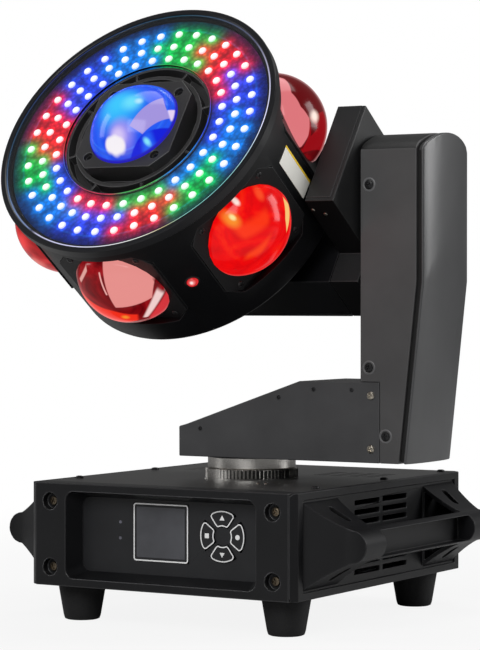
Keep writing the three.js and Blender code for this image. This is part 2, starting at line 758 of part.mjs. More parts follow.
let shell = cut(armSlab(armInner, shellOuter, 0, { innerStraight: true }),
  armSlab(armInner + armWall, armOuter, armWall, { innerStraight: true, bottom: yokeBottom + armWall }));
shell = join(shell, bar(bearingBossRadius, "x", armInner + overrun, armInner + armWall + bearingBossDepth,
  [0, tiltHeight]));
const plateSeat = frameHalf - gap;
shell = cut(shell,
  bar(tiltShaftRadius + runningGap, "x", armInner - overrun, shellOuter, [0, tiltHeight]),
  box(armInner - overrun, armInner + armWall + overrun, -cableWayHalf, cableWayHalf,
    yokeBottom + armWall + cableWayLift, yokeBottom + armWall + cableWayLift + cableWayHeight),
  box(armInner - overrun, lowerRight + gap, -yokeHalfDepth - overrun, -plateSeat,
    yokeBottom - overrun, lowerTop + gap),
  box(armInner - overrun, lowerRight + gap, plateSeat, yokeHalfDepth + overrun,
    yokeBottom - overrun, lowerTop + gap));
piece(yoke, "arm_shell", shell, greyPaint);

piece(yoke, "arm_trim",
  cut(armSlab(shellOuter + gap, trimOuter, trimInset, { bottom: yokeBottom + trimInset }),
    armSlab(shellOuter - overrun, trimOuter + overrun, trimInset + trimWidth,
      { bottom: yokeBottom + trimInset + trimWidth })),
  rubber);
piece(yoke, "arm_cover", armSlab(trimOuter + gap, armOuter, 0), blackPlastic);

// Tilt motor low in the arm, its pulley, and the belt up to the tilt shaft
const tiltMotorAt = [0, tiltHeight - tiltMotorDrop];
const tiltPulleyRadius = yokeHalfDepth - armWall - tiltPulleyFromWall;
const tiltPulleyOuter = shellOuter - tiltPulleyFromTrim;
const tiltPulleyInner = tiltPulleyOuter - pulleyWidth;
const tiltMotorFace = tiltPulleyInner - pulleyLip;
piece(yoke, "tilt_motor",
  cut(prism(motorOutline(tiltMotorAt, tiltMotorHalf, tiltMotorChamfer), "x",
    armInner + armWall, tiltMotorFace),
    bar(motorShaftRadius + gap, "x", tiltMotorFace - motorShaftDepth - gap, tiltMotorFace + overrun,
      tiltMotorAt, smallSides)),
  steel);
piece(yoke, "tilt_motor_pulley",
  join(bar(motorShaftRadius, "x", tiltMotorFace - motorShaftDepth, tiltPulleyOuter, tiltMotorAt, smallSides),
    bar(motorPulleyRadius, "x", tiltPulleyInner + pulleyLip, tiltPulleyOuter, tiltMotorAt)),
  aluminium);
const tiltBeltX = (tiltPulleyInner + tiltPulleyOuter) / 2;
piece(yoke, "tilt_belt",
  prism(beltLoop([0, tiltHeight], tiltPulleyRadius + gap, tiltMotorAt, motorPulleyRadius + gap, beltThickness),
    "x", tiltBeltX - beltWidth / 2, tiltBeltX + beltWidth / 2, smallSides),
  beltRubber);

// The head hangs on the tilt axis; its own frame has the beam along -Y before the rest tilt.
head.position.set(0, 0, tiltHeight);
head.rotation.x = -degrees(restTilt);

// Drum: a round barrel with six flat seats for the side lenses
const neckOuter = armInner - neckFromArm;
const neckInner = neckOuter - neckWidth;
const ringRadius = drumRadius + ringStand;
const drumX = neckInner - ringRadius;
const drumZ = -drumDrop;
const faceY = -faceReach;
const drumBackRadius = drumRadius - drumBackInset;
const drumLip = drumRadius - drumLipWidth;
const seatRadius = drumRadius - seatDepth;
const drumBackY = faceY + drumDepth;
const drumFrontY = faceY + ringBack;
const bossBackY = drumBackY + drumBackDepth;

// Something made at the top of the drum (+Z from its axis), turned to a lens's place.
const turnToLens = (body, index) => {
  const halfStep = 180 / lensCount;
  return body.rotate([0, 90 - lensTurn - halfStep * (2 * index + 1), 0]);
};

// Outline of a lens plate, (across, along the drum), about the lens centre.
function lensPlateOutline(grow) {
  const w = lensRadius + plateBesideLens + grow;
  const l = lensRadius + plateEndLens + grow;
  const c = plateChamfer + grow / 2;
  const y = faceY + lensBack;
  return [
    [-w, y - l + c], [-w + c, y - l], [w - c, y - l], [w, y - l + c],
    [w, y + l - c], [w - c, y + l], [-w + c, y + l], [-w, y + l - c],
  ];
}

let drum = turned([
  [drumLip, drumFrontY], [drumRadius, drumFrontY], [drumRadius, drumBackY],
  [drumBackRadius, bossBackY], [tiltShaftRadius, bossBackY], [tiltShaftRadius, bossBackY - drumWall],
  [drumBackRadius - drumWall / 2, bossBackY - drumWall],
  [drumRadius - drumWall, drumBackY - drumWall / 2], [drumRadius - drumWall, drumFrontY + drumWall],
  [drumLip, drumFrontY + drumWall], [drumLip, drumFrontY],
], largeSides);
const drumSolid = bar(drumRadius, "y", drumFrontY, drumBackY, [0, 0], largeSides);
for (let i = 0; i < lensCount; i++) {
  const seat = prism(lensPlateOutline(seatMargin), "z", seatRadius - seatThickness, drumRadius);
  drum = join(drum, turnToLens(seat, i).intersect(drumSolid));
}
for (let i = 0; i < lensCount; i++)
  drum = cut(drum,
    turnToLens(prism(lensPlateOutline(gap), "z", seatRadius, drumRadius + overrun), i),
    turnToLens(bar(lensRadius + gap, "z", seatRadius - seatThickness - overrun, drumRadius,
      [0, faceY + lensBack]), i));

const headPiece = (name, solid, material) => piece(head, name, solid, material);
const drumPiece = (name, solid, material) =>
  headPiece(name, solid.translate([drumX, 0, drumZ]), material);
drumPiece("drum_housing", drum, blackMoulding);

// Side lenses: six plano-convex lenses, each held by a flat plate with four screws

// A solid lens along +Z: flange, straight barrel and domed front, standing on its flange.
function lensSolid(bottom, flangeTop, rimZ) {
  const capRadius = (lensRadius ** 2 + lensDome ** 2) / (2 * lensDome);
  const sweep = Math.asin(lensRadius / capRadius);
  const profile = [[0, bottom], [lensRadius + lensFlange, bottom], [lensRadius + lensFlange, flangeTop],
    [lensRadius, flangeTop], [lensRadius, rimZ]];
  for (let i = 1; i < lensDomeSteps; i++) {
    const a = sweep * (1 - i / lensDomeSteps);
    profile.push([capRadius * Math.sin(a), rimZ + lensDome - capRadius * (1 - Math.cos(a))]);
  }
  profile.push([0, rimZ + lensDome]);
  return turnedUpright(profile, middleSides);
}
const plateScrewX = lensRadius - plateScrewInset;
const plateScrewY = lensRadius - plateScrewEnd;
const sideFlangeTop = seatRadius - seatThickness - gap;
const plateFace = seatRadius + gap + plateThickness;
for (let i = 0; i < lensCount; i++) {
  let plate = cut(prism(lensPlateOutline(0), "z", seatRadius + gap, plateFace),
    bar(lensRadius + gap, "z", seatRadius - overrun, plateFace + overrun, [0, faceY + lensBack]));
  for (const sx of [-1, 1])
    for (const sy of [-1, 1])
      plate = cut(plate, bar(plateScrewRadius, "z", seatRadius - overrun, plateFace + overrun,
        [sx * plateScrewX, faceY + lensBack + sy * plateScrewY], screwHoleSides));
  drumPiece("side_lens_plate_" + (i + 1), turnToLens(plate, i), blackPlastic);
  const lens = lensSolid(sideFlangeTop - lensFlangeThickness, sideFlangeTop, seatRadius + lensBarrel);
  drumPiece("side_lens_" + (i + 1), turnToLens(lens.translate([0, faceY + lensBack, 0]), i), redGlass);
}

// Front ring, LED ring board and the glass ring over it
const glassBack = faceY - glassStand;
const glassFront = glassBack - glassThickness;
const glassOuter = ringRadius - glassEdge;
const ringThroat = drumRadius - ringLip;
drumPiece("front_ring", turned([
  [ringThroat, glassBack + gap], [glassOuter + gap, glassBack + gap], [glassOuter + gap, faceY - ringFront],
  [ringRadius, faceY - ringFront], [ringRadius, drumFrontY - gap], [ringThroat, drumFrontY - gap],
  [ringThroat, glassBack + gap],
], largeSides), blackMoulding);
const largeTube = (outer, inner, from, to) => tube(outer, inner, "y", from, to, [0, 0], largeSides);
drumPiece("front_glass", largeTube(glassOuter, hubRadius + glassClearance, glassFront, glassBack),
  clearGlass);

const ledBoardOuter = ringThroat - ledBoardEdge;
let ledBoard = largeTube(ledBoardOuter, hubRadius + gap, faceY + ledHeight, drumFrontY - gap);
for (const { share, count, turn } of ledRings)
  for (let i = 0; i < count; i++) {
    const radius = hubRadius + share * (ledBoardOuter - hubRadius);
    const led = box(radius - ledHalf, radius + ledHalf, faceY, faceY + ledHeight + gap, -ledHalf, ledHalf);
    ledBoard = join(ledBoard, led.rotate([0, -lensTurn - (360 * (i + turn)) / count, 0]));
  }
drumPiece("led_ring_board", ledBoard, boardGreen);

// Centre bezel: ribbed hub with a raised plate that holds the centre lens
const hubBack = faceY + hubFloor;
const hubRingOuter = hubRadius - hubChannel;
const hubRingInner = hubRingOuter - hubRingWidth;
const centrePlateFront = faceY - centrePlateStand;
const squareOctagon = (w, l, c) => [
  [-w, -l + c], [-w + c, -l], [w - c, -l], [w, -l + c], [w, l - c], [w - c, l], [-w + c, l], [-w, l - c],
];
let hub = join(
  bar(hubRadius, "y", hubBack - hubFloorThickness, hubBack, [0, 0], largeSides),
  largeTube(hubRingOuter, hubRingInner, faceY, hubBack),
  largeTube(hubRadius, hubRadius - hubRibWidth, faceY, hubBack),
  largeTube(hubRadius + hubFlange, hubRadius - hubRibWidth, drumFrontY, drumFrontY + hubRibWidth),
  prism(squareOctagon(lensRadius + centrePlateBeside, lensRadius + centrePlateEnd, plateChamfer), "y",
    centrePlateFront, hubBack));
for (let i = 0; i < hubRibs; i++) {
  const rib = box(hubRingInner, hubRadius - hubRibWidth / 2, faceY + ledHeight, hubBack,
    -hubRibWidth / 2, hubRibWidth / 2);
  hub = join(hub, rib.rotate([0, (360 * (i + 1 / 2)) / hubRibs, 0]));
}
hub = cut(hub, bar(lensRadius + gap, "y", centrePlateFront - overrun, hubBack + overrun));
for (const sx of [-1, 1])
  for (const sz of [-1, 1])
    hub = cut(hub, bar(plateScrewRadius, "y", centrePlateFront - overrun, centrePlateFront + plateThickness,
      [sx * plateScrewX, sz * plateScrewX], screwHoleSides));
drumPiece("centre_bezel", hub, blackPlastic);
drumPiece("centre_lens",
  lensSolid(-hubBack - gap - lensFlangeThickness, -hubBack - gap, gap - centrePlateFront).rotate([90, 0, 0]),
  blueGlass);

// Light engine: heat sink and LED carrier behind the lenses, on the drum's back wall
const engineFrontY = hubBack + 2 * gap + lensFlangeThickness;
const carrierBackY = engineFrontY + carrierLength;
const sinkBackY = bossBackY - drumWall - gap;
const sinkRadius = drumBackRadius - sinkInset;
const hexagon = (apothem) => {
  const corners = [];
  for (let i = 0; i < lensCount; i++) {
    const a = degrees(lensTurn + (360 * i) / lensCount);
    const r = apothem / Math.cos(Math.PI / lensCount);
    corners.push([r * Math.cos(a), r * Math.sin(a)]);
  }
  return corners;
};
let engine = join(
  cut(prism(hexagon(carrierApothem), "y", engineFrontY, carrierBackY),
    prism(hexagon(carrierApothem - carrierWall), "y", engineFrontY + carrierWall, carrierBackY + overrun)),
  bar(sinkRadius, "y", carrierBackY, carrierBackY + sinkPlate));
for (let i = 0; i < sinkFins; i++) {
  const fin = box(tiltShaftRadius, sinkRadius, carrierBackY, sinkBackY, -finThickness / 2, finThickness / 2);
  engine = join(engine, fin.rotate([0, (360 * i) / sinkFins, 0]));
}
engine = cut(
  join(engine, bar(tiltShaftRadius + finThickness, "y", carrierBackY, sinkBackY)),
  bar(tiltShaftRadius, "y", engineFrontY + carrierWall, sinkBackY + overrun));
drumPiece("light_engine", engine, aluminium);

// Rear housing behind the drum, its vented cover, and the neck beside the drum
const headTop = drumZ + headTopAboveDrum;
const neckFrontY = drumBackY - neckForward;
const neckBottom = drumZ - neckBelowDrum;
const housingLeft = drumX - housingBesideDrum;
const housingRight = neckInner - gap;
const housingBottom = drumZ - housingBelowDrum;
const housingFront = bossBackY + gap;
const housingBack = bossBackY + housingDepth;
const coverFront = housingBack - rearCoverThickness;
let housing = cut(
  box(housingLeft, housingRight, housingFront, coverFront - gap, housingBottom, headTop),
  box(housingLeft + housingWall, housingRight - housingWall, housingFront + housingWall, coverFront + overrun,
    housingBottom + housingWall, headTop - housingWall),
  bar(tiltShaftRadius, "y", housingFront - overrun, housingFront + housingWall + overrun, [drumX, drumZ]),
  box(housingRight - housingWall - overrun, housingRight + overrun,
    housingFront + 2 * housingWall, housingFront + 2 * housingWall + windowHalf, -windowHalf, windowHalf));
headPiece("head_rear_housing", housing, blackMoulding);

const neckOutline = (inset) => [
  [neckFrontY + inset, neckBottom + inset], [housingFront + inset, neckBottom + inset],
  [housingFront + inset, housingBottom + inset], [housingBack - inset, housingBottom + inset],
  [housingBack - inset, headTop - housingCut - inset / 2],
  [housingBack - housingCut - inset / 2, headTop - inset],
  [neckFrontY + inset, headTop - inset],
];
headPiece("head_neck",
  cut(prism(neckOutline(0), "x", neckInner, neckOuter),
    prism(neckOutline(housingWall), "x", neckInner + housingWall, neckOuter - housingWall),
    box(neckInner - overrun, neckInner + housingWall + overrun,
      housingFront + 2 * housingWall, housingFront + 2 * housingWall + windowHalf, -windowHalf, windowHalf),
    bar(tiltShaftRadius + gap, "x", neckOuter - housingWall - overrun, neckOuter + overrun)),
  greyPaint);

// Tilt shaft: flange inside the neck, hollow shaft into the arm, driven pulley on its end
const shaftFlangeOuter = neckOuter - housingWall - gap;
headPiece("tilt_shaft",
  cut(join(
    bar(shaftFlangeRadius, "x", shaftFlangeOuter - shaftFlangeThickness, shaftFlangeOuter),
    bar(tiltShaftRadius, "x", shaftFlangeOuter - shaftFlangeThickness, tiltPulleyOuter),
    bar(tiltPulleyRadius, "x", tiltPulleyInner + pulleyLip, tiltPulleyOuter - pulleyLip)),
  bar(tiltShaftBore, "x", shaftFlangeOuter - shaftFlangeThickness - overrun, tiltPulleyOuter + overrun)),
  steel);

// Cooling fan on a pin of the rear cover
const fanAt = [drumX, (headTop + housingBottom) / 2];
const fanBackY = coverFront - 2 * runningGap;
const fanFrontY = fanBackY - fanThickness;
const grilleRadius = fanRadius + grilleClearance;
let fan = bar(fanHubRadius, "y", fanFrontY, fanBackY);
const fanReach = bar(fanRadius, "y", fanFrontY, fanBackY);
for (let i = 0; i < fanBlades; i++) {
  const middle = (fanFrontY + fanBackY) / 2;
  const blade = box(fanHubRadius - overrun, fanRadius, -fanThickness, fanThickness,
    -bladeThickness / 2, bladeThickness / 2)
    .rotate([bladePitch, 0, 0]).translate([0, middle, 0]).rotate([0, (360 * i) / fanBlades, 0]);
  fan = join(fan, blade.intersect(fanReach));
}
const pinBore = fanPinRadius + runningGap / 2;
fan = cut(fan, bar(pinBore, "y", fanFrontY + overrun, fanBackY + overrun, [0, 0], smallSides));
headPiece("head_fan", fan.translate([fanAt[0], 0, fanAt[1]]), blackPlastic);

let rearCover = cut(
  box(housingLeft, housingRight, coverFront, housingBack, housingBottom, headTop),
  bar(grilleRadius, "y", coverFront - overrun, housingBack + overrun, fanAt));
rearCover = join(rearCover,
  box(fanAt[0] - grilleRadius - overrun, fanAt[0] + grilleRadius + overrun, coverFront, housingBack,
    fanAt[1] - grilleBar / 2, fanAt[1] + grilleBar / 2),
  box(fanAt[0] - grilleBar / 2, fanAt[0] + grilleBar / 2, coverFront, housingBack,
    fanAt[1] - grilleRadius - overrun, fanAt[1] + grilleRadius + overrun),
  tube((grilleRadius + grilleBar) * grilleRingShare, (grilleRadius - grilleBar) * grilleRingShare, "y",
    coverFront, housingBack, fanAt),
  bar(fanHubRadius, "y", coverFront, housingBack, fanAt, smallSides),
  bar(fanPinRadius, "y", fanFrontY + 2 * overrun, coverFront + overrun, fanAt, smallSides));
headPiece("head_rear_cover", rearCover, blackMoulding);

// The whole light is shifted so that the origin lies on the floor, in the middle of its box
const boxMiddle = new THREE.Box3().setFromObject(light, true).getCenter(new THREE.Vector3());
light.position.set(-boxMiddle.x, -boxMiddle.y, 0);

export default group;
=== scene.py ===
import math

import bmesh
import bpy
from mathutils import Matrix, Vector


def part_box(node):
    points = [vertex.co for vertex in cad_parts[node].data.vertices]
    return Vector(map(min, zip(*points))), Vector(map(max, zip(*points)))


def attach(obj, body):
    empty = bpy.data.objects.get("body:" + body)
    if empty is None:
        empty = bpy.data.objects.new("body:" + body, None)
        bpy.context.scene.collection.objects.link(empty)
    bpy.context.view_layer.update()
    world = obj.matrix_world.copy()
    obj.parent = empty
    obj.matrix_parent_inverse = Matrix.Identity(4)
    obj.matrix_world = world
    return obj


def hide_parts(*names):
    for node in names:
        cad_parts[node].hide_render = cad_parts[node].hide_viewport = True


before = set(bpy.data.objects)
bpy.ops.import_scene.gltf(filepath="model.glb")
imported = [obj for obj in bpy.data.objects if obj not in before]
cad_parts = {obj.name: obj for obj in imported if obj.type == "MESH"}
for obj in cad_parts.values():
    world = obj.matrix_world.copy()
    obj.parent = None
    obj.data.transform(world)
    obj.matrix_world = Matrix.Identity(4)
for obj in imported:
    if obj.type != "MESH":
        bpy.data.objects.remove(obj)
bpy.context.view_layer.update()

# Base housing: a flat bottom plate, a top cover and a rear panel, all of folded sheet steel with a
# fine matt black powder coat, held by pan-head screws. The cover has vents behind the collar. Every
# place in this file is in millimetres from the point where the pan axis meets the floor.
mm = 0.001
low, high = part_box("pan_seat")
pan_axis = Vector(((low[0] + high[0]) / 2, (low[1] + high[1]) / 2, 0)) / mm
base_top, base_floor, base_half_width, base_half_depth = 123.3, 32.7, 132, 157

def feed(tree, node, sockets):
    """Gives each socket of a node a plain value, or wires another node's output to it."""
    for socket, given in sockets.items():
        if isinstance(given, bpy.types.NodeSocket):
            tree.links.new(given, node.inputs[socket])
        else:
            node.inputs[socket].default_value = given

def wire(tree, kind, sockets, **settings):
    """One more node in a material, with its settings and what its sockets get."""
    node = tree.nodes.new("ShaderNode" + kind)
    for setting, choice in settings.items():
        setattr(node, setting, choice)
    feed(tree, node, sockets)
    return node

def spread(tree, value, start, end, least=0.0, most=1.0, **settings):
    """A value between start and end, laid out from least to most."""
    return wire(tree, "MapRange", {"Value": value, "From Min": start, "From Max": end,
                                   "To Min": least, "To Max": most}, **settings).outputs["Result"]

def laid_over(tree, share, under, colour):
    """One colour laid over another where the share is high. The mix node's sockets go by number."""
    return wire(tree, "Mix", {0: share, 6: under, 7: (*colour, 1)}, data_type="RGBA").outputs[2]

def blank(name):
    """A material to wire up, and its node tree."""
    made = bpy.data.materials.new(name)
    made.use_nodes = True
    return made, made.node_tree

def finish(name, colour, gloss, grain=0.7, relief=0.03, drift=0.18, metallic=0.0, coat=0.0,
           edge_wear_and_highlight=0.0, shine=0.3):
    """A finish with a grain in relief (mm), colour and gloss that drift, and edges lightened by
    painted highlight and wear.
    """
    made, tree = blank(name)
    noise_low, noise_high, drift_scale, edge_radius = 0.3, 0.7, 21, 0.9
    place = wire(tree, "TexCoord", {}).outputs["Object"]
    slow = wire(tree, "TexNoise", {"Vector": place, "Scale": drift_scale, "Detail": 4})
    fine = wire(tree, "TexNoise", {"Vector": place, "Scale": 1 / (grain * mm), "Detail": 2})
    slow, fine = slow.outputs["Fac"], fine.outputs["Fac"]
    shade = spread(tree, slow, noise_low, noise_high, 1 - drift, 1 + drift)
    rough = spread(tree, fine, noise_low, noise_high,
                   gloss * (1 - drift / 2), gloss * (1 + drift / 2))
    paint = wire(tree, "HueSaturation", {"Color": (*colour, 1), "Value": shade}).outputs["Color"]
    # Painted highlight and wear: a lighter grey laid over the rounded edges that the Bevel node
    # finds.
    if edge_wear_and_highlight:
        rounded = wire(tree, "Bevel", {"Radius": edge_radius * mm}, samples=4).outputs["Normal"]
        flat = wire(tree, "NewGeometry", {}).outputs["Normal"]
        along = wire(tree, "VectorMath", {0: rounded, 1: flat}, operation="DOT_PRODUCT")
        wear_and_highlight_share = spread(tree, along.outputs["Value"], 0.995, 0.9, 0, edge_wear_and_highlight)
        paint = laid_over(tree, wear_and_highlight_share, paint, (0.16, 0.16, 0.165))
    bump = wire(tree, "Bump", {"Height": fine, "Strength": 0.5, "Distance": relief * mm})
    feed(tree, tree.nodes["Principled BSDF"], {
        "Base Color": paint, "Roughness": rough, "Normal": bump.outputs["Normal"],
        "Metallic": metallic, "Specular IOR Level": 0.5 if metallic else shine,
        "Coat Weight": coat, "Coat Roughness": 0.08})
    return made

powder_coat = finish("powder_coat", (0.008, 0.0082, 0.009), 0.42, grain=0.8, relief=0.035,
                     edge_wear_and_highlight=0.25, shine=0.24)
cover_coat = finish("cover_coat", (0.021, 0.0205, 0.02), 0.34, grain=0.8, relief=0.03, drift=0.3,
                    edge_wear_and_highlight=0.3, shine=0.5)
sharp_angle, merge_gap = math.radians(32), 0.002

def stand(name, data):
    """An object that shows the data in the scene."""
    made = bpy.data.objects.new(name, data)
    bpy.context.scene.collection.objects.link(made)
    return made

def fit(shape, name, body, finishes, stands_for=None, edge=0.0, segments=2):
    """A shape in millimetres becomes a piece on a body, with its sharp edges rounded."""
    bmesh.ops.translate(shape, vec=pan_axis, verts=shape.verts)
    bmesh.ops.scale(shape, vec=(mm, mm, mm), verts=shape.verts)
    data = bpy.data.meshes.new(name)
    shape.to_mesh(data)
    shape.free()
    data.shade_smooth()
    for one in finishes if isinstance(finishes, list) else [finishes]:
        data.materials.append(one)
    piece = stand(name, data)
    if edge:
        rounding = piece.modifiers.new("rounded_edges", "BEVEL")
        rounding.width = edge * mm
        rounding.segments = segments
        rounding.limit_method = "ANGLE"
        rounding.angle_limit = sharp_angle
        rounding.use_clamp_overlap = False
        rounding.miter_outer = "MITER_ARC"
        piece.modifiers.new("even_shading", "WEIGHTED_NORMAL").keep_sharp = True
    else:
        data.set_sharp_from_angle(angle=sharp_angle)
    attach(piece, body)
    if stands_for:
        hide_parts(stands_for)

def whole(node):
    """A CAD piece's shape in millimetres, its triangles joined in pairs where they are flat."""
    shape = bmesh.new()
    shape.from_mesh(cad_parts[node].data)
    bmesh.ops.scale(shape, vec=(1000, 1000, 1000), verts=shape.verts)
    bmesh.ops.translate(shape, vec=-pan_axis, verts=shape.verts)
    bmesh.ops.remove_doubles(shape, verts=shape.verts, dist=merge_gap)
    bmesh.ops.join_triangles(shape, faces=shape.faces, angle_face_threshold=0.01,
                             angle_shape_threshold=3.1)
    return shape

for node, name, edge in (("base_bottom_plate", "bottom_plate", 0.4),
                         ("base_rear_panel", "rear_panel", 0.35)):
    fit(whole(node), name, "base", powder_coat, node, edge)

vent_half_length, vent_half_width = 6.5, 1.4
under_cover, over_cover = 118, 126

def block(xa, xb, ya, yb, za, zb):
    """A box between two values along each axis."""
    shape = bmesh.new()
    bmesh.ops.create_cube(shape, size=1)
    bmesh.ops.scale(shape, vec=(xb - xa, yb - ya, zb - za), verts=shape.verts)
    middle = ((xa + xb) / 2, (ya + yb) / 2, (za + zb) / 2)
    bmesh.ops.translate(shape, vec=middle, verts=shape.verts)
    return shape

def carved(shape, *cutters):
    """The first shape with the others cut out of it."""
    held = []
    for one in (shape, *cutters):
        data = bpy.data.meshes.new("passing")
        one.to_mesh(data)
        one.free()
        held.append(stand("passing", data))
    for cutter in held[1:]:
        cutting = held[0].modifiers.new("cut", "BOOLEAN")
        cutting.operation, cutting.solver, cutting.object = "DIFFERENCE", "EXACT", cutter
    result = bmesh.new()
    result.from_object(held[0], bpy.context.evaluated_depsgraph_get())
    for one in held:
        data = one.data
        bpy.data.objects.remove(one)
        bpy.data.meshes.remove(data)
    return result

vents = []
for side in (-1, 1):
    for row in range(6):
        for column in range(4):
            x, y = side * (45 + 17 * column), 46 + 8 * row
            vents.append(block(x - vent_half_length, x + vent_half_length,
                               y - vent_half_width, y + vent_half_width,
                               under_cover, over_cover))
fit(carved(whole("base_top_cover"), *vents), "top_cover", "base", cover_coat,
    "base_top_cover")

upward, downward = Vector((0, 0, 1)), Vector((0, 0, -1))
rearward, forward = Vector((0, 1, 0)), Vector((0, -1, 0))

def turned(profile, steps, axis="Z"):
    """A closed outline of (radius, height) pairs turned about an axis, with outward faces."""
    shape = bmesh.new()
    corners = [shape.verts.new((radius, 0, height)) for radius, height in profile]
    rim = [shape.edges.new((corners[i - 1], corners[i])) for i in range(len(corners))]
    bmesh.ops.spin(shape, geom=corners + rim, cent=(0, 0, 0), axis=upward, angle=2 * math.pi,
                   steps=steps, use_merge=True)
    bmesh.ops.remove_doubles(shape, verts=shape.verts, dist=merge_gap)
    bmesh.ops.dissolve_degenerate(shape, dist=merge_gap / 2, edges=shape.edges)
    bmesh.ops.recalc_face_normals(shape, faces=shape.faces)
    if axis == "Y":
        bmesh.ops.rotate(shape, cent=(0, 0, 0), matrix=Matrix.Rotation(-math.pi / 2, 3, "X"),
                         verts=shape.verts)
    return shape

def add(shape, other, place=Matrix()):
    """Another shape joined into the first at a place."""
    other.transform(place)
    passing = bpy.data.meshes.new("passing")
    other.to_mesh(passing)
    other.free()
    shape.from_mesh(passing)
    bpy.data.meshes.remove(passing)

def towards(out):
    """The turn that takes +Z to a direction."""
    return Vector(out).to_track_quat("Z", "Y").to_matrix().to_4x4()

def screw_head(radius, height):
    """One pan head with a cross recess, standing on the XY plane."""
    head = turned([(0, 0), (radius, 0), (radius, 0.45 * height), (0.86 * radius, 0.8 * height),
                   (0.5 * radius, 0.97 * height), (0, height)], 24)
    arm, wide, deep = 0.6 * radius, 0.13 * radius, 0.35 * height
    return carved(head, block(-arm, arm, -wide, wide, deep, 2 * height),
                  block(-wide, wide, -arm, arm, deep, 2 * height))

def screws(name, body, places, out, radius, height, made):
    """A set of like screws on one face. Their heads point along out, each turned differently."""
    rows = bmesh.new()
    for number, place in enumerate(places):
        spun = Matrix.Rotation(math.radians(25 + 37 * number), 4, "Z")
        add(rows, screw_head(radius, height), Matrix.Translation(place) @ towards(out) @ spun)
    fit(rows, name, body, made)

black_screw = finish("black_screw", (0.02, 0.02, 0.021), 0.3, grain=0.3, relief=0.01, metallic=0.6)
zinc_screw = finish("zinc_screw", (0.36, 0.33, 0.28), 0.28, grain=0.25, relief=0.01, metallic=1.0)
screws("cover_screws", "base", [(x, y, base_top) for x in (-122, 122) for y in (-98.7, 26, 140)],
       upward, radius=3.6, height=2.2, made=black_screw)
screws("cover_small_screws", "base", [(52.8, -78.1, base_top), (58.8, -74.5, base_top)],
       upward, radius=1.5, height=0.9, made=zinc_screw)
screws("rear_panel_screws", "base",
       [(x, base_half_depth, z) for x in (-120, 0, 120) for z in (41, 115)],
       rearward, radius=2.6, height=1.2, made=black_screw)

# Base sides: two mouldings in grained black plastic, each with its grip, its two brackets and the
# vent slots in one piece. They are screwed to the sheet housing and have small cut corners.
side_grain = finish("side_moulding", (0.0042, 0.0043, 0.005), 0.4, grain=0.9, relief=0.03,
                    edge_wear_and_highlight=0.35, shine=0.2)
# Near-black painted shade for the walls inside slots and tooth gaps, where little light falls.
painted_slot_shade = finish("painted_slot_shade", (0.0015, 0.0015, 0.0015), 0.6, grain=0.5, relief=0.02, shine=0.1)
corner_cut = 2.2
slot_end, slot_run, slot_reach = Vector((140.5, 107)), Vector((10.5, -4)), 4.4

def sliced(shape, place, out, clear=False):
    """Cuts a shape by a plane and may clear what lies beyond it. Returns what the cut made."""
    return bmesh.ops.bisect_plane(shape, geom=shape.verts[:] + shape.edges[:] + shape.faces[:],
                                  plane_co=place, plane_no=out, clear_outer=clear)["geom_cut"]

for node, name, sign in (("base_side_right", "right_side", 1), ("base_side_left", "left_side", -1)):
    side = whole(node)
    for height, rise in ((base_floor, -1), (base_top, 1)):
        for end in (-1, 1):
            outward = Vector((0, end, rise)).normalized()
            corner = Vector((sign * base_half_width, end * base_half_depth, height))
            cut = sliced(side, corner - outward * corner_cut, outward, clear=True)
            rim = [part for part in cut if isinstance(part, bmesh.types.BMEdge)]
            bmesh.ops.holes_fill(side, edges=rim)
    bmesh.ops.recalc_face_normals(side, faces=side.faces)
    # The walls inside the bracket slots take the near-black painted shade.
    for face in side.faces:
        middle = face.calc_center_median()
        away = Vector((abs(middle.x), abs(middle.y))) - slot_end
        along = min(max(away.dot(slot_run) / slot_run.length_squared, 0), 1)
        if abs(face.normal.z) < 0.5 and (away - along * slot_run).length < slot_reach:
            face.material_index = 1
    fit(side, name, "base", [side_grain, painted_slot_shade], node, 0.7)

# Front bezel: a thick black moulding round the sunk control panel. Four long screws in deep round
# wells hold it to the sides; their bronze heads show at the bottom of the wells.
bezel_grain = finish("bezel_moulding", (0.0052, 0.0053, 0.006), 0.38, grain=0.8, relief=0.025,
                     edge_wear_and_highlight=0.9, shine=0.24)
fit(whole("base_front_bezel"), "front_bezel", "base", bezel_grain,
    "base_front_bezel", 0.9, 3)
bronze_screw = finish("bronze_screw", (0.13, 0.105, 0.075), 0.34, grain=0.25, relief=0.01,
                      metallic=1.0)
well_bottom = -150
screws("bezel_screws", "base", [(x, well_bottom, z) for x in (-113.3, 113.3) for z in (49, 107)],
       forward, radius=4.2, height=2.4, made=bronze_screw)

# Feet: four moulded rubber cones under the corners, each held by a screw sunk in its sole. The
# rubber is matt, with a slightly rough skin.
rubber = finish("foot_rubber", (0.0055, 0.0055, 0.006), 0.72, grain=1.1, relief=0.06, drift=0.25)
sole_depth = 6
for name, x, y in (("foot_front_left", -105, -119), ("foot_front_right", 105, -119),
                   ("foot_rear_left", -105, 119), ("foot_rear_right", 105, 119)):
    foot = turned([(0, sole_depth), (7, sole_depth), (7, 0.6), (7.6, 0), (14, 0), (15.4, 0.6),
                   (16, 2), (16.6, 4), (21.2, 30.6), (21.2, base_floor), (0, base_floor)], 64)
    bmesh.ops.translate(foot, vec=(x, y, 0), verts=foot.verts)
    fit(foot, name + "_cone", "base", rubber, name)
    screws(name + "_screw", "base", [(x, y, sole_depth)], downward, radius=4.5, height=2.2,
           made=zinc_screw)

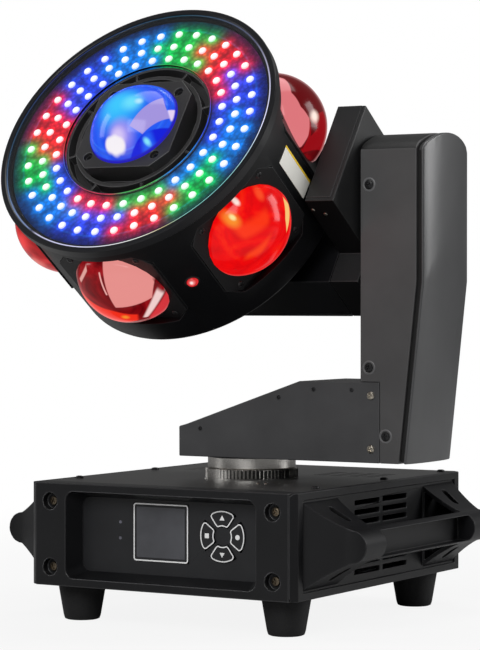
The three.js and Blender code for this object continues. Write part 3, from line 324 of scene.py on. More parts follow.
# Control panel: a satin black fascia behind the bezel, with the display window and the four keys.
# White printed lines frame the window and each key. Two pinholes left of it have dim lamps.
panel_black = finish("panel_black", (0.011, 0.0113, 0.0125), 0.36, grain=0.5, relief=0.012)
white_print = finish("white_print", (0.62, 0.62, 0.62), 0.5, grain=0.5, relief=0.01, drift=0.08)
screen_glass = finish("screen_glass", (0.045, 0.046, 0.052), 0.2, grain=2.0, relief=0.004,
                      drift=0.3, coat=0.3)
lamp_glow = finish("panel_lamp", (0.09, 0.09, 0.11), 0.2, grain=0.4, relief=0.01, coat=0.6)
to_front = Matrix.Rotation(math.pi / 2, 3, "X")
fit(whole("control_fascia"), "fascia", "base", panel_black, "control_fascia", 0.2)

def sheet(width, height, corner, steps):
    """A flat sheet on the XY plane, with its corners cut in one step or rounded in more."""
    shape = bmesh.new()
    bmesh.ops.create_grid(shape, x_segments=1, y_segments=1, size=0.5)
    bmesh.ops.scale(shape, vec=(width, height, 1), verts=shape.verts)
    bmesh.ops.bevel(shape, geom=shape.verts[:], offset=corner, segments=steps, profile=0.5,
                    affect="VERTICES", material=-1)
    return shape

def thicken(shape, push):
    """Draws a flat sheet out by a vector into a plate."""
    drawn = bmesh.ops.extrude_face_region(shape, geom=shape.faces[:])["geom"]
    far_side = [part for part in drawn if isinstance(part, bmesh.types.BMVert)]
    bmesh.ops.translate(shape, vec=push, verts=far_side)
    bmesh.ops.recalc_face_normals(shape, faces=shape.faces)

def front_plate(xa, xb, za, zb, corner, y, depth):
    """A plate with round corners, its front at y and its depth away from the front."""
    plate = sheet(xb - xa, zb - za, corner, 6)
    bmesh.ops.rotate(plate, cent=(0, 0, 0), matrix=to_front, verts=plate.verts)
    bmesh.ops.translate(plate, vec=((xa + xb) / 2, y, (za + zb) / 2), verts=plate.verts)
    thicken(plate, (0, depth, 0))
    return plate

def front_faces(shape):
    """The faces of a shape that look to -Y."""
    shape.normal_update()
    return [face for face in shape.faces if face.normal.y < -0.99]

def print_line(shape, margin, width):
    """A printed line round the front of a shape, a margin in from its edge."""
    border = bmesh.ops.inset_region(shape, faces=front_faces(shape), thickness=margin)["faces"]
    inner = [face for face in front_faces(shape) if face not in border]
    for face in bmesh.ops.inset_region(shape, faces=inner, thickness=width)["faces"]:
        face.material_index = 1

window = front_plate(-38, 18.3, 57.05, 107.55, 2.6, -137.6, 7.6)
print_line(window, 0.15, 1.15)
fit(window, "display_window", "base", [panel_black, white_print], "display_module")
fit(front_plate(-34.6, 14.9, 60.4, 104.2, 0.8, -137.75, 0.4), "display_screen", "base",
    screen_glass)

panel_lamps = bmesh.new()
for z in (89.8, 75.8):
    lamp = turned([(0, -0.5), (1.5, -0.5), (1.5, 0.1), (1.0, 0.6), (0, 0.8)], 20)
    add(panel_lamps, lamp, Matrix.Translation((-52, -137, z)) @ to_front.to_4x4())
fit(panel_lamps, "panel_lamps", "base", lamp_glow)

keys_x, keys_z, key_front, sign_front = 52.9, 82.3, -138.2, -138.28
key_reach, sign_reach = 15.35, 15.3

def key_slice(direction):
    """A round-cornered plate bent into a slice of the key ring, its face towards -Y."""
    bent = sheet(19.28, 13.7, 3.0, 5)
    long_edges = [edge for edge in bent.edges if edge.calc_length() > 10]
    bmesh.ops.subdivide_edges(bent, edges=long_edges, cuts=11)
    for vert in bent.verts:
        reach, turn = key_reach + vert.co.y, direction - vert.co.x / key_reach
        vert.co = (reach * math.cos(turn), reach * math.sin(turn), 0)
    bmesh.ops.rotate(bent, cent=(0, 0, 0), matrix=to_front, verts=bent.verts)
    thicken(bent, (0, 5.1, 0))
    bmesh.ops.translate(bent, vec=(keys_x, key_front, keys_z), verts=bent.verts)
    return bent

for name, direction, sides, radius, turn in (
        ("right", 0, 24, 2.2, 0), ("up", math.pi / 2, 3, 2.9, 0),
        ("left", math.pi, 4, 2.9, math.pi / 4), ("down", 3 * math.pi / 2, 3, 2.9, -math.pi)):
    key = key_slice(direction)
    print_line(key, 0.25, 1.0)
    sign = bmesh.new()
    bmesh.ops.create_circle(sign, cap_ends=True, segments=sides, radius=radius)
    bmesh.ops.rotate(sign, cent=(0, 0, 0), matrix=to_front @ Matrix.Rotation(turn, 3, "Z"),
                     verts=sign.verts)
    spot = (keys_x + sign_reach * math.cos(direction), sign_front,
            keys_z + sign_reach * math.sin(direction))
    bmesh.ops.translate(sign, vec=spot, verts=sign.verts)
    for face in sign.faces:
        face.material_index = 1
    add(key, sign)
    fit(key, name + "_key_cap", name + "_key", [panel_black, white_print],
        "key_" + name)

# Sockets at the back: mains in and out and data in and out, bought-in black mouldings with metal
# contacts, each held by its flange from outside.
socket_black = finish("socket_black", (0.013, 0.013, 0.014), 0.4, grain=0.4, relief=0.012)
contact_metal = finish("contact_metal", (0.55, 0.48, 0.3), 0.3, grain=0.2, relief=0.005,
                       metallic=1.0)
socket_height, contact_reach = 78, 4.2
for node, x in (("power_inlet", 90), ("power_outlet", 48), ("dmx_inlet", -30), ("dmx_outlet", -72)):
    fit(whole(node), node + "_moulding", "base", socket_black, node, 0.3)
    contacts = bmesh.new()
    for turn in (math.radians(90), math.radians(210), math.radians(330)):
        contact = turned([(0, 142), (1.2, 142), (1.2, 152.5), (0.7, 153.5), (0, 153.5)], 12, "Y")
        add(contacts, contact, Matrix.Translation((
            x + contact_reach * math.cos(turn), 0, socket_height + contact_reach * math.sin(turn))))
    fit(contacts, node + "_contacts", "base", contact_metal)

# Inside the base: the control board, the mains power supply in its folded case, and the pan motor
# with its pulley and belt. They show only through the vents.
board_green = finish("board_green", (0.008, 0.02, 0.016), 0.35, grain=1.5, relief=0.02, drift=0.4)
zinc_case = finish("zinc_case", (0.42, 0.43, 0.44), 0.42, grain=3.0, relief=0.02, drift=0.25,
                   metallic=0.9)
motor_steel = finish("motor_steel", (0.2, 0.2, 0.21), 0.38, grain=1.2, relief=0.02, metallic=0.8)
belt_rubber = finish("belt_rubber", (0.02, 0.02, 0.02), 0.75, grain=1.4, relief=0.08)

def dress(made, *nodes):
    """A finish on CAD pieces whose shape stays."""
    for node in nodes:
        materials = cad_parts[node].data.materials
        materials.clear()
        materials.append(made)

dress(board_green, "control_board")
dress(zinc_case, "power_supply")
dress(motor_steel, "pan_motor", "pan_motor_pulley")
dress(belt_rubber, "pan_belt")

# Pan collar: the toothed seat is a turned and milled steel ring screwed on the top cover. The
# yoke's smooth hub flange, bright satin metal, turns just above it.
turned_metal = finish("turned_metal", (0.62, 0.6, 0.57), 0.27, grain=0.35, relief=0.012,
                      drift=0.12, metallic=1.0)
tooth_root, tooth_degrees = 40, 2.5
seat_ring = whole("pan_seat")
seat_ring.normal_update()
# Vertical faces in every other 2.5 degree band round the teeth take the near-black painted shade of
# the gaps between teeth.
for face in seat_ring.faces:
    middle = face.calc_center_median()
    if abs(face.normal.z) < 0.3 and middle.xy.length > tooth_root:
        turn = math.degrees(math.atan2(middle.y, middle.x)) % 360
        face.material_index = int(turn / tooth_degrees) % 2
fit(seat_ring, "pan_seat_ring", "base", [turned_metal, painted_slot_shade], "pan_seat", 0.15, 1)
flange = turned([(12, 91.3), (18, 91.3), (18, 92.5), (36, 92.5), (36, 102.1), (18, 102.1),
                 (18, 131.8), (39.2, 131.8), (40, 132.6), (40, 141.6), (39.2, 142.6), (12, 142.6)],
                128)
fit(flange, "pan_hub_flange", "yoke", turned_metal, "pan_hub")

# Lower arm: a folded steel frame between a front and a rear plate, with the sloping top sheet, all
# powder coated. Six screws hold each plate, two of them left bright.
arm_sheet = finish("arm_sheet", (0.039, 0.0395, 0.041), 0.4, grain=0.9, relief=0.035, edge_wear_and_highlight=0.3)
arm_face = 42.85
for node, name, edge in (("yoke_lower_frame", "lower_arm_frame", 0.5),
                         ("yoke_front_plate", "lower_arm_front", 0.8),
                         ("yoke_rear_plate", "lower_arm_rear", 0.8)):
    fit(whole(node), name, "yoke", arm_sheet, node, edge)
for side, end in ((-1, "front"), (1, "rear")):
    for name, spots, radius, height, made in (
            ("_plate_screws", [(-28.8, 168.1), (53, 197.8), (88.5, 205.5), (126.4, 205.6)],
             1.9, 0.9, black_screw),
            ("_plate_bright_screws", [(145.3, 154.7), (145.3, 201)], 3.6, 1.8, zinc_screw)):
        screws(end + name, "yoke", [(x, side * arm_face, z) for x, z in spots],
               (0, side, 0), radius, height, made)

# Upright arm: a deep charcoal shell with a fine grain, a black rubber trim line round its open side
# and a curved outer cover in satin black. Pan-head screws in shallow rings hold the shell.
arm_grain = finish("arm_moulding", (0.047, 0.0465, 0.047), 0.5, grain=0.7, relief=0.05, drift=0.12,
                   edge_wear_and_highlight=0.2)
cover_black = finish("arm_cover_black", (0.04, 0.0405, 0.042), 0.34, grain=0.8, relief=0.02,
                     drift=0.1, edge_wear_and_highlight=0.2, shine=0.5)
trim_rubber = finish("trim_rubber", (0.005, 0.005, 0.005), 0.35, grain=0.8, relief=0.03)
ring_grey = finish("ring_grey", (0.09, 0.09, 0.092), 0.4, grain=0.5, relief=0.02)
dark_top_height, screw_sunk, cover_crown = 380, 0.1, 4.2
shell = whole("arm_shell")
shell.normal_update()
for face in shell.faces:
    if face.normal.z > 0.15 and face.calc_center_median().z > dark_top_height:
        face.material_index = 1
fit(shell, "upright_arm_shell", "yoke", [arm_grain, trim_rubber], "arm_shell",
    1.0, 3)
fit(whole("arm_trim"), "arm_trim_line", "yoke", trim_rubber, "arm_trim", 0.5)
crowned = whole("arm_cover")
for y in (-36, -28, -18, -6, 6, 18, 28, 36):
    sliced(crowned, (0, y, 0), rearward)
crowned.normal_update()
for vert in [one for one in crowned.verts if one.normal.x > 0.3]:
    vert.co.x -= cover_crown * abs(vert.co.y / arm_face) ** 3
fit(crowned, "arm_outer_cover", "yoke", cover_black, "arm_cover", 1.2, 3)
arm_spots = [(143.4, 383.7), (143.3, 225.3), (159.7, 166.1)]
for side, end in ((-1, "front"), (1, "rear")):
    screws(end + "_arm_screws", "yoke",
           [(x, side * (arm_face - screw_sunk), z) for x, z in arm_spots],
           (0, side, 0), radius=4.0, height=1.6, made=black_screw)
    rings = bmesh.new()
    for x, z in arm_spots:
        ring = turned([(4.6, -0.4), (6.2, -0.4), (6.2, 0.1), (5.7, 0.35), (5.1, 0.35),
                       (4.6, 0)], 40)
        add(rings, ring, Matrix.Translation((x, side * arm_face, z)) @ towards((0, side, 0)))
    fit(rings, end + "_arm_screw_rings", "yoke", ring_grey)
dress(motor_steel, "tilt_motor", "tilt_motor_pulley", "tilt_shaft")
dress(belt_rubber, "tilt_belt")

# Drum housing: a black moulding, a round barrel with six flat seats for the side lenses and a coned
# back. A blank white label with a yellow edge is stuck on it between two of the seats.
head_place = Matrix.Translation((0, 0, 368)) @ Matrix.Rotation(math.radians(-35), 4, "X")
drum_place = head_place @ Matrix.Translation((-29.2, 0, -31.2))
head_turn, drum_turn = head_place.to_3x3(), drum_place.to_3x3()
drum_grain = finish("drum_moulding", (0.0036, 0.0037, 0.0044), 0.38, grain=0.9, relief=0.025,
                    edge_wear_and_highlight=0.22, shine=0.16)
drum_radius, seat_out, seat_row, lens_hole = 129, 117.5, -91.7, 45.3
seat_angles = [28.6, 88.6, 148.6, 208.6, 268.6, 328.6]

def round_drum(angle, along):
    """Takes what is made at the drum's top to an angle from +X and a place along its axis."""
    turn = Matrix.Rotation(math.radians(90 - angle), 4, "Y")
    return turn @ Matrix.Translation((0, along, 0))

barrel = turned([(118, -149.2), (127.8, -149.2), (drum_radius, -148), (drum_radius, -22),
                 (128.2, -20.2), (101.5, 3.7), (100, 4.5), (12, 4.5), (12, 0.5), (98, 0.5),
                 (112, -19), (112, -145.2), (118, -145.2)], 216, "Y")
cutters = []
for angle in seat_angles:
    pocket = sheet(96.8, 92.8, 13.2, 1)
    thicken(pocket, (0, 0, 14))
    bmesh.ops.translate(pocket, vec=(0, 0, seat_out), verts=pocket.verts)
    hole = turned([(0, 100), (lens_hole, 100), (lens_hole, 119), (0, 119)], 72)
    for cutter in (pocket, hole):
        cutter.transform(round_drum(angle, seat_row))
        cutters.append(cutter)
barrel = carved(barrel, *cutters)
barrel.transform(drum_place)
fit(barrel, "drum_barrel", "head", drum_grain, "drum_housing")

label_white = finish("label_white", (0.72, 0.71, 0.66), 0.45, grain=0.6, relief=0.01, drift=0.06)
label_yellow = finish("label_yellow", (0.75, 0.5, 0.02), 0.45, grain=0.6, relief=0.01, drift=0.06)
label_front, label_back, label_out = -118, -68, drum_radius + 0.35
for name, middle, half, made in (("blank_label", -1.9, 3.7, label_white),
                                 ("label_edge", 2.35, 0.5, label_yellow)):
    label = bmesh.new()
    ends = [label.verts.new((0, y, label_out)) for y in (label_front, label_back)]
    line = label.edges.new(ends)
    bmesh.ops.rotate(label, cent=(0, 0, 0), matrix=Matrix.Rotation(math.radians(-half), 3, "Y"),
                     verts=label.verts)
    bmesh.ops.spin(label, geom=ends + [line], cent=(0, 0, 0), axis=rearward,
                   angle=math.radians(2 * half), steps=8)
    bmesh.ops.solidify(label, geom=label.faces[:], thickness=0.3)
    bmesh.ops.recalc_face_normals(label, faces=label.faces)
    label.transform(drum_place @ round_drum(middle, 0))
    fit(label, name, "head", made)

# Side lenses: six solid domes of clear acrylic, red where the LED behind each one lights it, with
# painted highlights and reflections in pink and white on them. A flat eight-sided plate with four
# screws holds each to its seat.
lens_plate = finish("lens_plate", (0.0045, 0.0046, 0.0052), 0.38, grain=0.7, relief=0.02,
                    edge_wear_and_highlight=0.2, shine=0.2)
lens_radius, lens_rise, lens_flange, flange_height = 42, 26, 3, 3
plate_front, side_lens_back, side_lens_rim = 121.5, 110.2, 123.5

def dome(back, rim, steps, rows):
    """A flat-backed lens about the Z axis: its flange, straight barrel and round front."""
    curve = (lens_radius ** 2 + lens_rise ** 2) / (2 * lens_rise)
    sweep = math.asin(lens_radius / curve)
    profile = [(0, back), (lens_radius + lens_flange, back),
               (lens_radius + lens_flange, back + flange_height),
               (lens_radius, back + flange_height), (lens_radius, rim)]
    for row in range(1, rows):
        turn = sweep * (1 - row / rows)
        profile.append((curve * math.sin(turn), rim + lens_rise - curve * (1 - math.cos(turn))))
    profile.append((0, rim + lens_rise))
    return turned(profile, steps)

def lit_lens(name, place, ground, layers, cloudy=30, painted_sheen=0.0):
    """Clear plastic that glows: a cloudy ground in three colours, with light laid over it in facets
    (corners, softness), spots (x, y, inner, outer) and rings (from, to). Some layers are painted
    highlights and reflections, and the painted sheen lays pale pink over the rim at grazing angles."""
    made, tree = blank(name)
    where = wire(tree, "TexCoord", {}).outputs["Object"]
    centred = wire(tree, "Mapping", {
        "Vector": where, "Location": (place.translation + pan_axis) * mm,
        "Rotation": place.to_euler()}, vector_type="TEXTURE").outputs["Vector"]
    flat = wire(tree, "VectorMath", {0: centred, 1: (1, 1, 0)}, operation="MULTIPLY")

    def between(value, start, end):
        return spread(tree, value, start * mm, end * mm, interpolation_type="SMOOTHSTEP")

    def times(a, b):
        return wire(tree, "Math", {0: a, 1: b}, operation="MULTIPLY").outputs[0]

    def measure(operation, point):
        return wire(tree, "VectorMath", {0: flat.outputs["Vector"], 1: point},
                    operation=operation).outputs["Value"]

    def facet(corners, soft):
        middle = sum((Vector(corner) for corner in corners), Vector((0, 0))) / len(corners)
        share = None
        for a, b in zip(corners, corners[1:] + corners[:1]):
            a, b = Vector(a), Vector(b)
            inward = Vector((a.y - b.y, b.x - a.x)).normalized()
            if inward.dot(middle - a) < 0:
                inward.negate()
            edge = inward.dot(a)
            side = between(measure("DOT_PRODUCT", (*inward, 0)), edge - soft / 2, edge + soft / 2)
            share = times(share, side) if share else side
        return share

    def spot(x, y, inner, outer):
        return between(measure("DISTANCE", (x * mm, y * mm, 0)), outer, inner)

    def ring(start, end, soft=0.5):
        away = measure("DISTANCE", (0, 0, 0))
        return times(between(away, start - soft, start + soft),
                     between(away, end + soft, end - soft))

    cloud = wire(tree, "TexNoise", {"Vector": centred, "Scale": cloudy, "Detail": 3,
                                    "Distortion": 1.6})
    bands = wire(tree, "ValToRGB", {"Fac": cloud.outputs["Fac"]})
    stops = bands.color_ramp.elements
    stops[0].position, stops[0].color = 0.34, (*ground[0], 1)
    stops[1].position, stops[1].color = 0.72, (*ground[2], 1)
    stops.new(0.52).color = (*ground[1], 1)
    picture = bands.outputs["Color"]
    for colour, *form in layers:
        kind = spot if len(form) == 4 else facet if isinstance(form[0], list) else ring
        picture = laid_over(tree, kind(*form), picture, colour)
    # Painted sheen: a pale pink laid over the rim where the surface turns from view, standing in
    # for reflection.
    if painted_sheen:
        grazing = wire(tree, "LayerWeight", {"Blend": 0.5}).outputs["Facing"]
        share = spread(tree, grazing, 0.72, 1.0, 0, painted_sheen)
        picture = laid_over(tree, share, picture, (0.95, 0.5, 0.5))
    feed(tree, tree.nodes["Principled BSDF"], {
        "Base Color": (*[0.05 * part for part in ground[1]], 1), "Roughness": 0.16,
        "Specular IOR Level": 0.12, "Coat Weight": 0.06, "Coat Roughness": 0.08,
        "Emission Color": picture, "Emission Strength": 0.92})
    return made

# Lens pictures: ground colours, layers and painted sheen. The pale pink, white and yellow-white
# layers are painted highlights and reflections; the reds are the LED's light.
upper_lens = ([(0.05, 0.002, 0.003), (0.14, 0.003, 0.005), (0.34, 0.006, 0.01)], [
    ((0.78, 0.2, 0.22), [(-22, -30), (22, -12), (42, 2), (50, -20), (30, -50), (-22, -48)], 1),
    ((0.13, 0.003, 0.005),
     [(-45, -37.5), (7, -34.2), (19, -25.8), (25.5, -14.8), (24, 10), (-45, 10)], 0.9),
    ((0.32, 0.004, 0.008), [(25, -15.5), (44, 0.5), (20, 34), (8, 0)], 0.9),
    ((0.13, 0.003, 0.005), [(25.5, -14), (35, -4), (27, -2)], 0.7),
    ((0.95, 0.72, 0.62), 20.9, -10.5, 1.5, 7.5)], 0.6)
left_lens = ([(0.28, 0.008, 0.01), (0.5, 0.018, 0.022), (0.68, 0.05, 0.05)], [
    ((0.85, 0.04, 0.04), -20, -18, 2, 14),
    ((0.7, 0.12, 0.1), -31, 2, 2, 9)], 0.15)
lower_lens = ([(0.1, 0.001, 0.003), (0.24, 0.003, 0.006), (0.4, 0.01, 0.015)], [
    ((0.95, 0.03, 0.012), [(30, -14), (-4, -3), (-20, 9), (-14, 20), (10, 20), (36, 0)], 3),
    ((1.0, 0.3, 0.03), -9, 8.2, 0.5, 5),
    ((0.84, 0.3, 0.28), [(-3, -46), (-7.5, -7), (-35.6, -1.2), (-40, -12), (-34, -46)], 1),
    ((0.92, 0.45, 0.42), [(0.6, -36), (-3.6, -20), (-5, -20.3), (-0.8, -36.2)], 0.8),
    ((0.8, 0.4, 0.36), [(15.5, -37.5), (27, -25), (25, -23.5), (14, -35)], 1.2),
    ((0.72, 0.04, 0.05), [(-44, 4), (-23, 21), (-8, 46), (-46, 34)], 3),
    ((0.95, 0.68, 0.66), [(-40, -5), (-20, 17.2), (-22, 20), (-41.5, 4)], 2.4)], 0.3)
right_lens = ([(0.72, 0.002, 0.004), (0.92, 0.003, 0.004), (1.0, 0.022, 0.005)], [
    ((1.0, 0.04, 0.008), [(-18, -22), (15, -31), (14, -18), (-12, -13)], 7),
    ((1.0, 0.05, 0.008), [(-6, -5), (20, -5), (23, 0), (8, 3)], 6),
    ((1.0, 0.08, 0.02), -23, -30, 1, 6),
    ((1.0, 0.3, 0.03), 10, -34, 1.5, 8.5),
    ((1.0, 0.85, 0.35), 8.2, -35, 0.8, 3.2),
    ((1.0, 0.8, 0.72), -3.5, -40, 1.0, 3.6),
    ((1.0, 0.62, 0.2), [(-39, -6), (-26.5, 1.1), (-20, 11.5), (-40, 6)], 1.5)], 0.12)
lens_pictures = (upper_lens, lower_lens, upper_lens, left_lens, lower_lens, right_lens)
for number, (angle, (ground, layers, painted_sheen)) in enumerate(zip(seat_angles, lens_pictures), 1):
    seat = drum_place @ round_drum(angle, seat_row)
    fit(whole(f"side_lens_plate_{number}"), f"lens_plate_{number}", "head", lens_plate,
        f"side_lens_plate_{number}", 0.5)
    spots = [seat @ Vector((x, y, plate_front)) for x in (-34, 34) for y in (-38, 38)]
    screws(f"lens_plate_{number}_screws", "head", spots, seat.to_3x3() @ upward,
           radius=2.9, height=1.3, made=black_screw)
    lens = dome(side_lens_back, side_lens_rim, 72, 14)
    lens.transform(seat)
    centre = seat @ Matrix.Translation((0, 0, side_lens_rim))
    lit = lit_lens(f"red_lens_{number}", centre, ground, layers, painted_sheen=painted_sheen)
    fit(lens, f"side_dome_{number}", "head", lit, f"side_lens_{number}")

# Red lamp: a small lit dome of clear red plastic in a black rubber well, with a painted white
# highlight on it. It is pressed into the drum's wall near the front, between two side lenses.
lamp_place = drum_place @ round_drum(-61.3, -86.2) @ Matrix.Translation((0, 0, drum_radius))
lamp_red = lit_lens("lamp_red", lamp_place, [(0.45, 0.008, 0.01), (0.7, 0.02, 0.025),
                                             (0.85, 0.05, 0.05)], [
    ((1.0, 0.3, 0.28), 0, -1.4, 0.5, 4), ((1.0, 0.85, 0.82), 0.4, -1.9, 0.6, 2)], cloudy=120)
well_outline = [(5.1, -1), (6.8, -1), (6.8, 0.1), (6.3, 0.5), (5.5, 0.5), (5.1, 0)]
lamp_outline = [(0, -1), (5, -1), (5, 0.2), (4.4, 1.5), (3.1, 2.4), (1.6, 2.9), (0, 3.1)]
for name, made, outline in (("drum_lamp_well", trim_rubber, well_outline),
                            ("drum_lamp", lamp_red, lamp_outline)):
    lamp = turned(outline, 40)
    lamp.transform(lamp_place)
    fit(lamp, name, "head", made)

# Front ring: a turned metal ring, coated black and clipped to the drum's open front. It holds the
# cover glass in its inner groove.
ring_black = finish("ring_black", (0.007, 0.0072, 0.0085), 0.3, grain=0.9, relief=0.012, drift=0.1,
                    shine=0.25)
ring = turned([(124, -153.7), (124, -149.5), (133, -149.5), (133.2, -149.7), (133.2, -157.4),
               (132.5, -158.2), (128.6, -158.2), (127.9, -157.5), (127.9, -153.7)], 180, "Y")
ring.transform(drum_place)
fit(ring, "front_ring_moulding", "head", ring_black, "front_ring")

# LED board: three rings of small white-bodied colour LEDs on a dark glossy board. They light in
# runs of three of one colour, green, red, blue and azure. The light each one sheds on the board
# round it is painted as a glow, over a faint painted blue glow that is brighter in the outer margin
# and on a thin line there, with painted glints of small parts.
run_colours = {"g": (0.0, 0.62, 0.07), "r": (1.0, 0.012, 0.01), "b": (0.02, 0.075, 1.0),
               "a": (0.0, 0.25, 1.0)}
led_rings = [(108.3, 36, 88.6, "gggrrrbbbaaa" * 3), (94.1, 36, 98.6, "gggrrrbbbaaa" * 3),
             (80.5, 30, 88.6, "gggrrrbbbaaagggrrrbbbrrrbbbaaa")]
leds = []
for radius, count, start, runs in led_rings:
    for number, run in enumerate(runs):
        turn = math.radians(start - 360 / count * number)
        leds.append((radius * math.cos(turn), radius * math.sin(turn), run_colours[run]))

board_face, board_inner, board_step, outer_line = -151.6, 70.8, 1.5, 113
board = bmesh.new()
spokes = [board.verts.new((board_inner + board_step * step, 0, 0)) for step in range(36)]
spoke_edges = [board.edges.new(pair) for pair in zip(spokes, spokes[1:])]
bmesh.ops.spin(board, geom=spokes + spoke_edges, cent=(0, 0, 0), axis=rearward,
               angle=2 * math.pi, steps=432, use_merge=True)
bmesh.ops.remove_doubles(board, verts=board.verts, dist=merge_gap)
bmesh.ops.recalc_face_normals(board, faces=board.faces)
board.normal_update()
if board.faces[:][0].normal.y > 0:
    bmesh.ops.reverse_faces(board, faces=board.faces)

near_fall, wide_fall, haze_fall, haze, shed_reach = 26, 110, 600, 0.006, 50

def shed(x, z, near, wide):
    """The painted light that the LEDs shed on a place of the board: near, wide and a faint haze."""
    colour = [0.0, 0.0, 0.0]
    for led_x, led_z, led_colour in leds:
        far = (x - led_x) ** 2 + (z - led_z) ** 2
        if far < shed_reach ** 2:
            amount = (near * math.exp(-far / near_fall) + wide * math.exp(-far / wide_fall)
                      + haze * math.exp(-far / haze_fall))
            for channel in range(3):
                colour[channel] += amount * led_colour[channel]
    return colour

# Painted light: each point of the board glows with the light the LEDs shed on it, plus a faint
# painted blue glow, brighter beyond the outer line and brightest on it.
glow = board.verts.layers.float_color.new("glow")
for vert in board.verts:
    reach = vert.co.xz.length
    line = 0.12 if abs(reach - outer_line) < 0.8 else 0.0
    band = 0.045 if reach > outer_line - 1 else 0.015
    red, green, blue = shed(vert.co.x, vert.co.z, 1.45, 0.4)
    vert[glow] = (red, green + 0.4 * line + 0.08 * band, blue + line + band, 1)
bmesh.ops.translate(board, vec=(0, board_face, 0), verts=board.verts)
board.transform(drum_place)

def glowing(name, attribute, strength, rough, painted_glints=0.0):
    """A glossy dark surface that glows in an attribute's colours, with painted glints of small
    parts if asked. Only on the LED chips is the glow a lamp's; elsewhere it is painted light.
    """
    made, tree = blank(name)
    light = wire(tree, "Attribute", {}, attribute_name=attribute).outputs["Color"]
    # Painted glints: small Voronoi cells of brighter and dimmer glow, standing in for small parts
    # catching the light.
    if painted_glints:
        where = wire(tree, "TexCoord", {}).outputs["Object"]
        parts = wire(tree, "TexVoronoi", {"Vector": where, "Scale": 260, "Randomness": 1})
        share = spread(tree, parts.outputs["Distance"], 0.1, 0.75, 1 + painted_glints, 1 - painted_glints)
        broken = wire(tree, "VectorMath", {0: light, "Scale": share}, operation="SCALE")
        light = broken.outputs["Vector"]
    feed(tree, tree.nodes["Principled BSDF"], {
        "Base Color": (0.002, 0.0025, 0.008, 1), "Roughness": rough, "Specular IOR Level": 0.12,
        "Emission Color": light, "Emission Strength": strength})
    return made

fit(board, "led_board_face", "head", glowing("led_board_painted_glow", "glow", 1.0, 0.22, 0.36),
    "led_ring_board")

led_light = glowing("led_light", "light", 1.3, 0.3)
chip_radius, chip_flatness = 3.7, 0.6
chips = bmesh.new()
chips.verts.layers.float_color.new("light")
for x, z, colour in leds:
    chip = bmesh.new()
    chip_light = chip.verts.layers.float_color.new("light")
    bmesh.ops.create_uvsphere(chip, u_segments=14, v_segments=8, radius=chip_radius)
    sliced(chip, (0, 0, 0), downward, clear=True)
    bmesh.ops.scale(chip, vec=(1, 1, chip_flatness), verts=chip.verts)
    for vert in chip.verts:
        out = min(1.0, vert.co.xy.length / chip_radius) ** 4
        vert[chip_light] = (*[1 + out * (0.55 * part - 0.6) for part in colour], 1)
    add(chips, chip, Matrix.Translation((x, board_face, z)) @ to_front.to_4x4())
chips.transform(drum_place)
fit(chips, "led_chips", "head", led_light)

# Cover glass: a flat clear ring over the LED board, polished, with ground edges whose light is
# painted: painted highlights and LED glow round the outer edge, and the glow of the nearest LEDs on
# the inner edge. The front ring and the hub hold it.
clear, tree = blank("cover_glass")
feed(tree, tree.nodes["Principled BSDF"], {
    "Base Color": (0.97, 0.98, 1.0, 1), "Roughness": 0.015, "Specular IOR Level": 0.12,
    "Transmission Weight": 1.0, "IOR": 1.45})
glass = turned([(71, -156.3), (71, -154), (127.6, -154), (127.6, -156.1), (127.1, -156.6),
                (71.3, -156.6)], 180, "Y")
glass.transform(drum_place)
fit(glass, "cover_glass_ring", "head", clear, "front_glass")
# Painted light round the outer edge by angle: bright painted highlights at the right and lower
# right, teal between them, dim elsewhere.
rim_colours = [(-180, 0.02, 0.05, 0.09), (-165, 0.03, 0.06, 0.1), (-135, 0.12, 0.17, 0.3),
               (-124, 0.12, 0.16, 0.3), (-121, 0.02, 0.02, 0.04), (-118, 0.4, 0.4, 0.55),
               (-100, 0.5, 0.5, 0.72), (-67, 0.85, 0.85, 0.8), (-58, 0.7, 0.55, 0.25),
               (-50, 0.25, 0.65, 0.55), (-29, 0.2, 0.6, 0.6), (0, 0.7, 0.7, 0.92),
               (20, 0.45, 0.45, 0.6), (45, 0.08, 0.08, 0.13), (90, 0.015, 0.05, 0.07),
               (150, 0.015, 0.02, 0.1), (180, 0.02, 0.05, 0.09)]

def rim_light(place):
    """The painted light on the glass's outer edge at a place, between the two named ones beside it.
    """
    turn = math.degrees(math.atan2(place.z, place.x))
    for (start, *before), (end, *after) in zip(rim_colours, rim_colours[1:]):
        if start <= turn <= end:
            share = (turn - start) / (end - start)
            colour = [a + share * (b - a) for a, b in zip(before, after)]
    return colour

def hub_light(place):
    """The painted light on the glass's inner edge at a place, from the LEDs nearest to it."""
    return [min(0.6, 0.02 + 0.5 * part) for part in shed(1.1 * place.x, 1.1 * place.z, 0.3, 0.7)]

outer_edge = [(126.6, -156.85), (127.85, -156.7), (127.85, -156.2), (126.8, -156.2)]
inner_edge = [(70.95, -156.2), (71.4, -156.2), (71.4, -156.75), (70.95, -156.75)]
# Both edges glow with this painted light through the LED material.
for name, outline, tint in (("glass_edge_light", outer_edge, rim_light),
                            ("hub_edge_light", inner_edge, hub_light)):
    edge = turned(outline, 240, "Y")
    edge_light = edge.verts.layers.float_color.new("light")
    for vert in edge.verts:
        vert[edge_light] = (*tint(vert.co), 1)
    edge.transform(drum_place)
    fit(edge, name, "head", led_light)

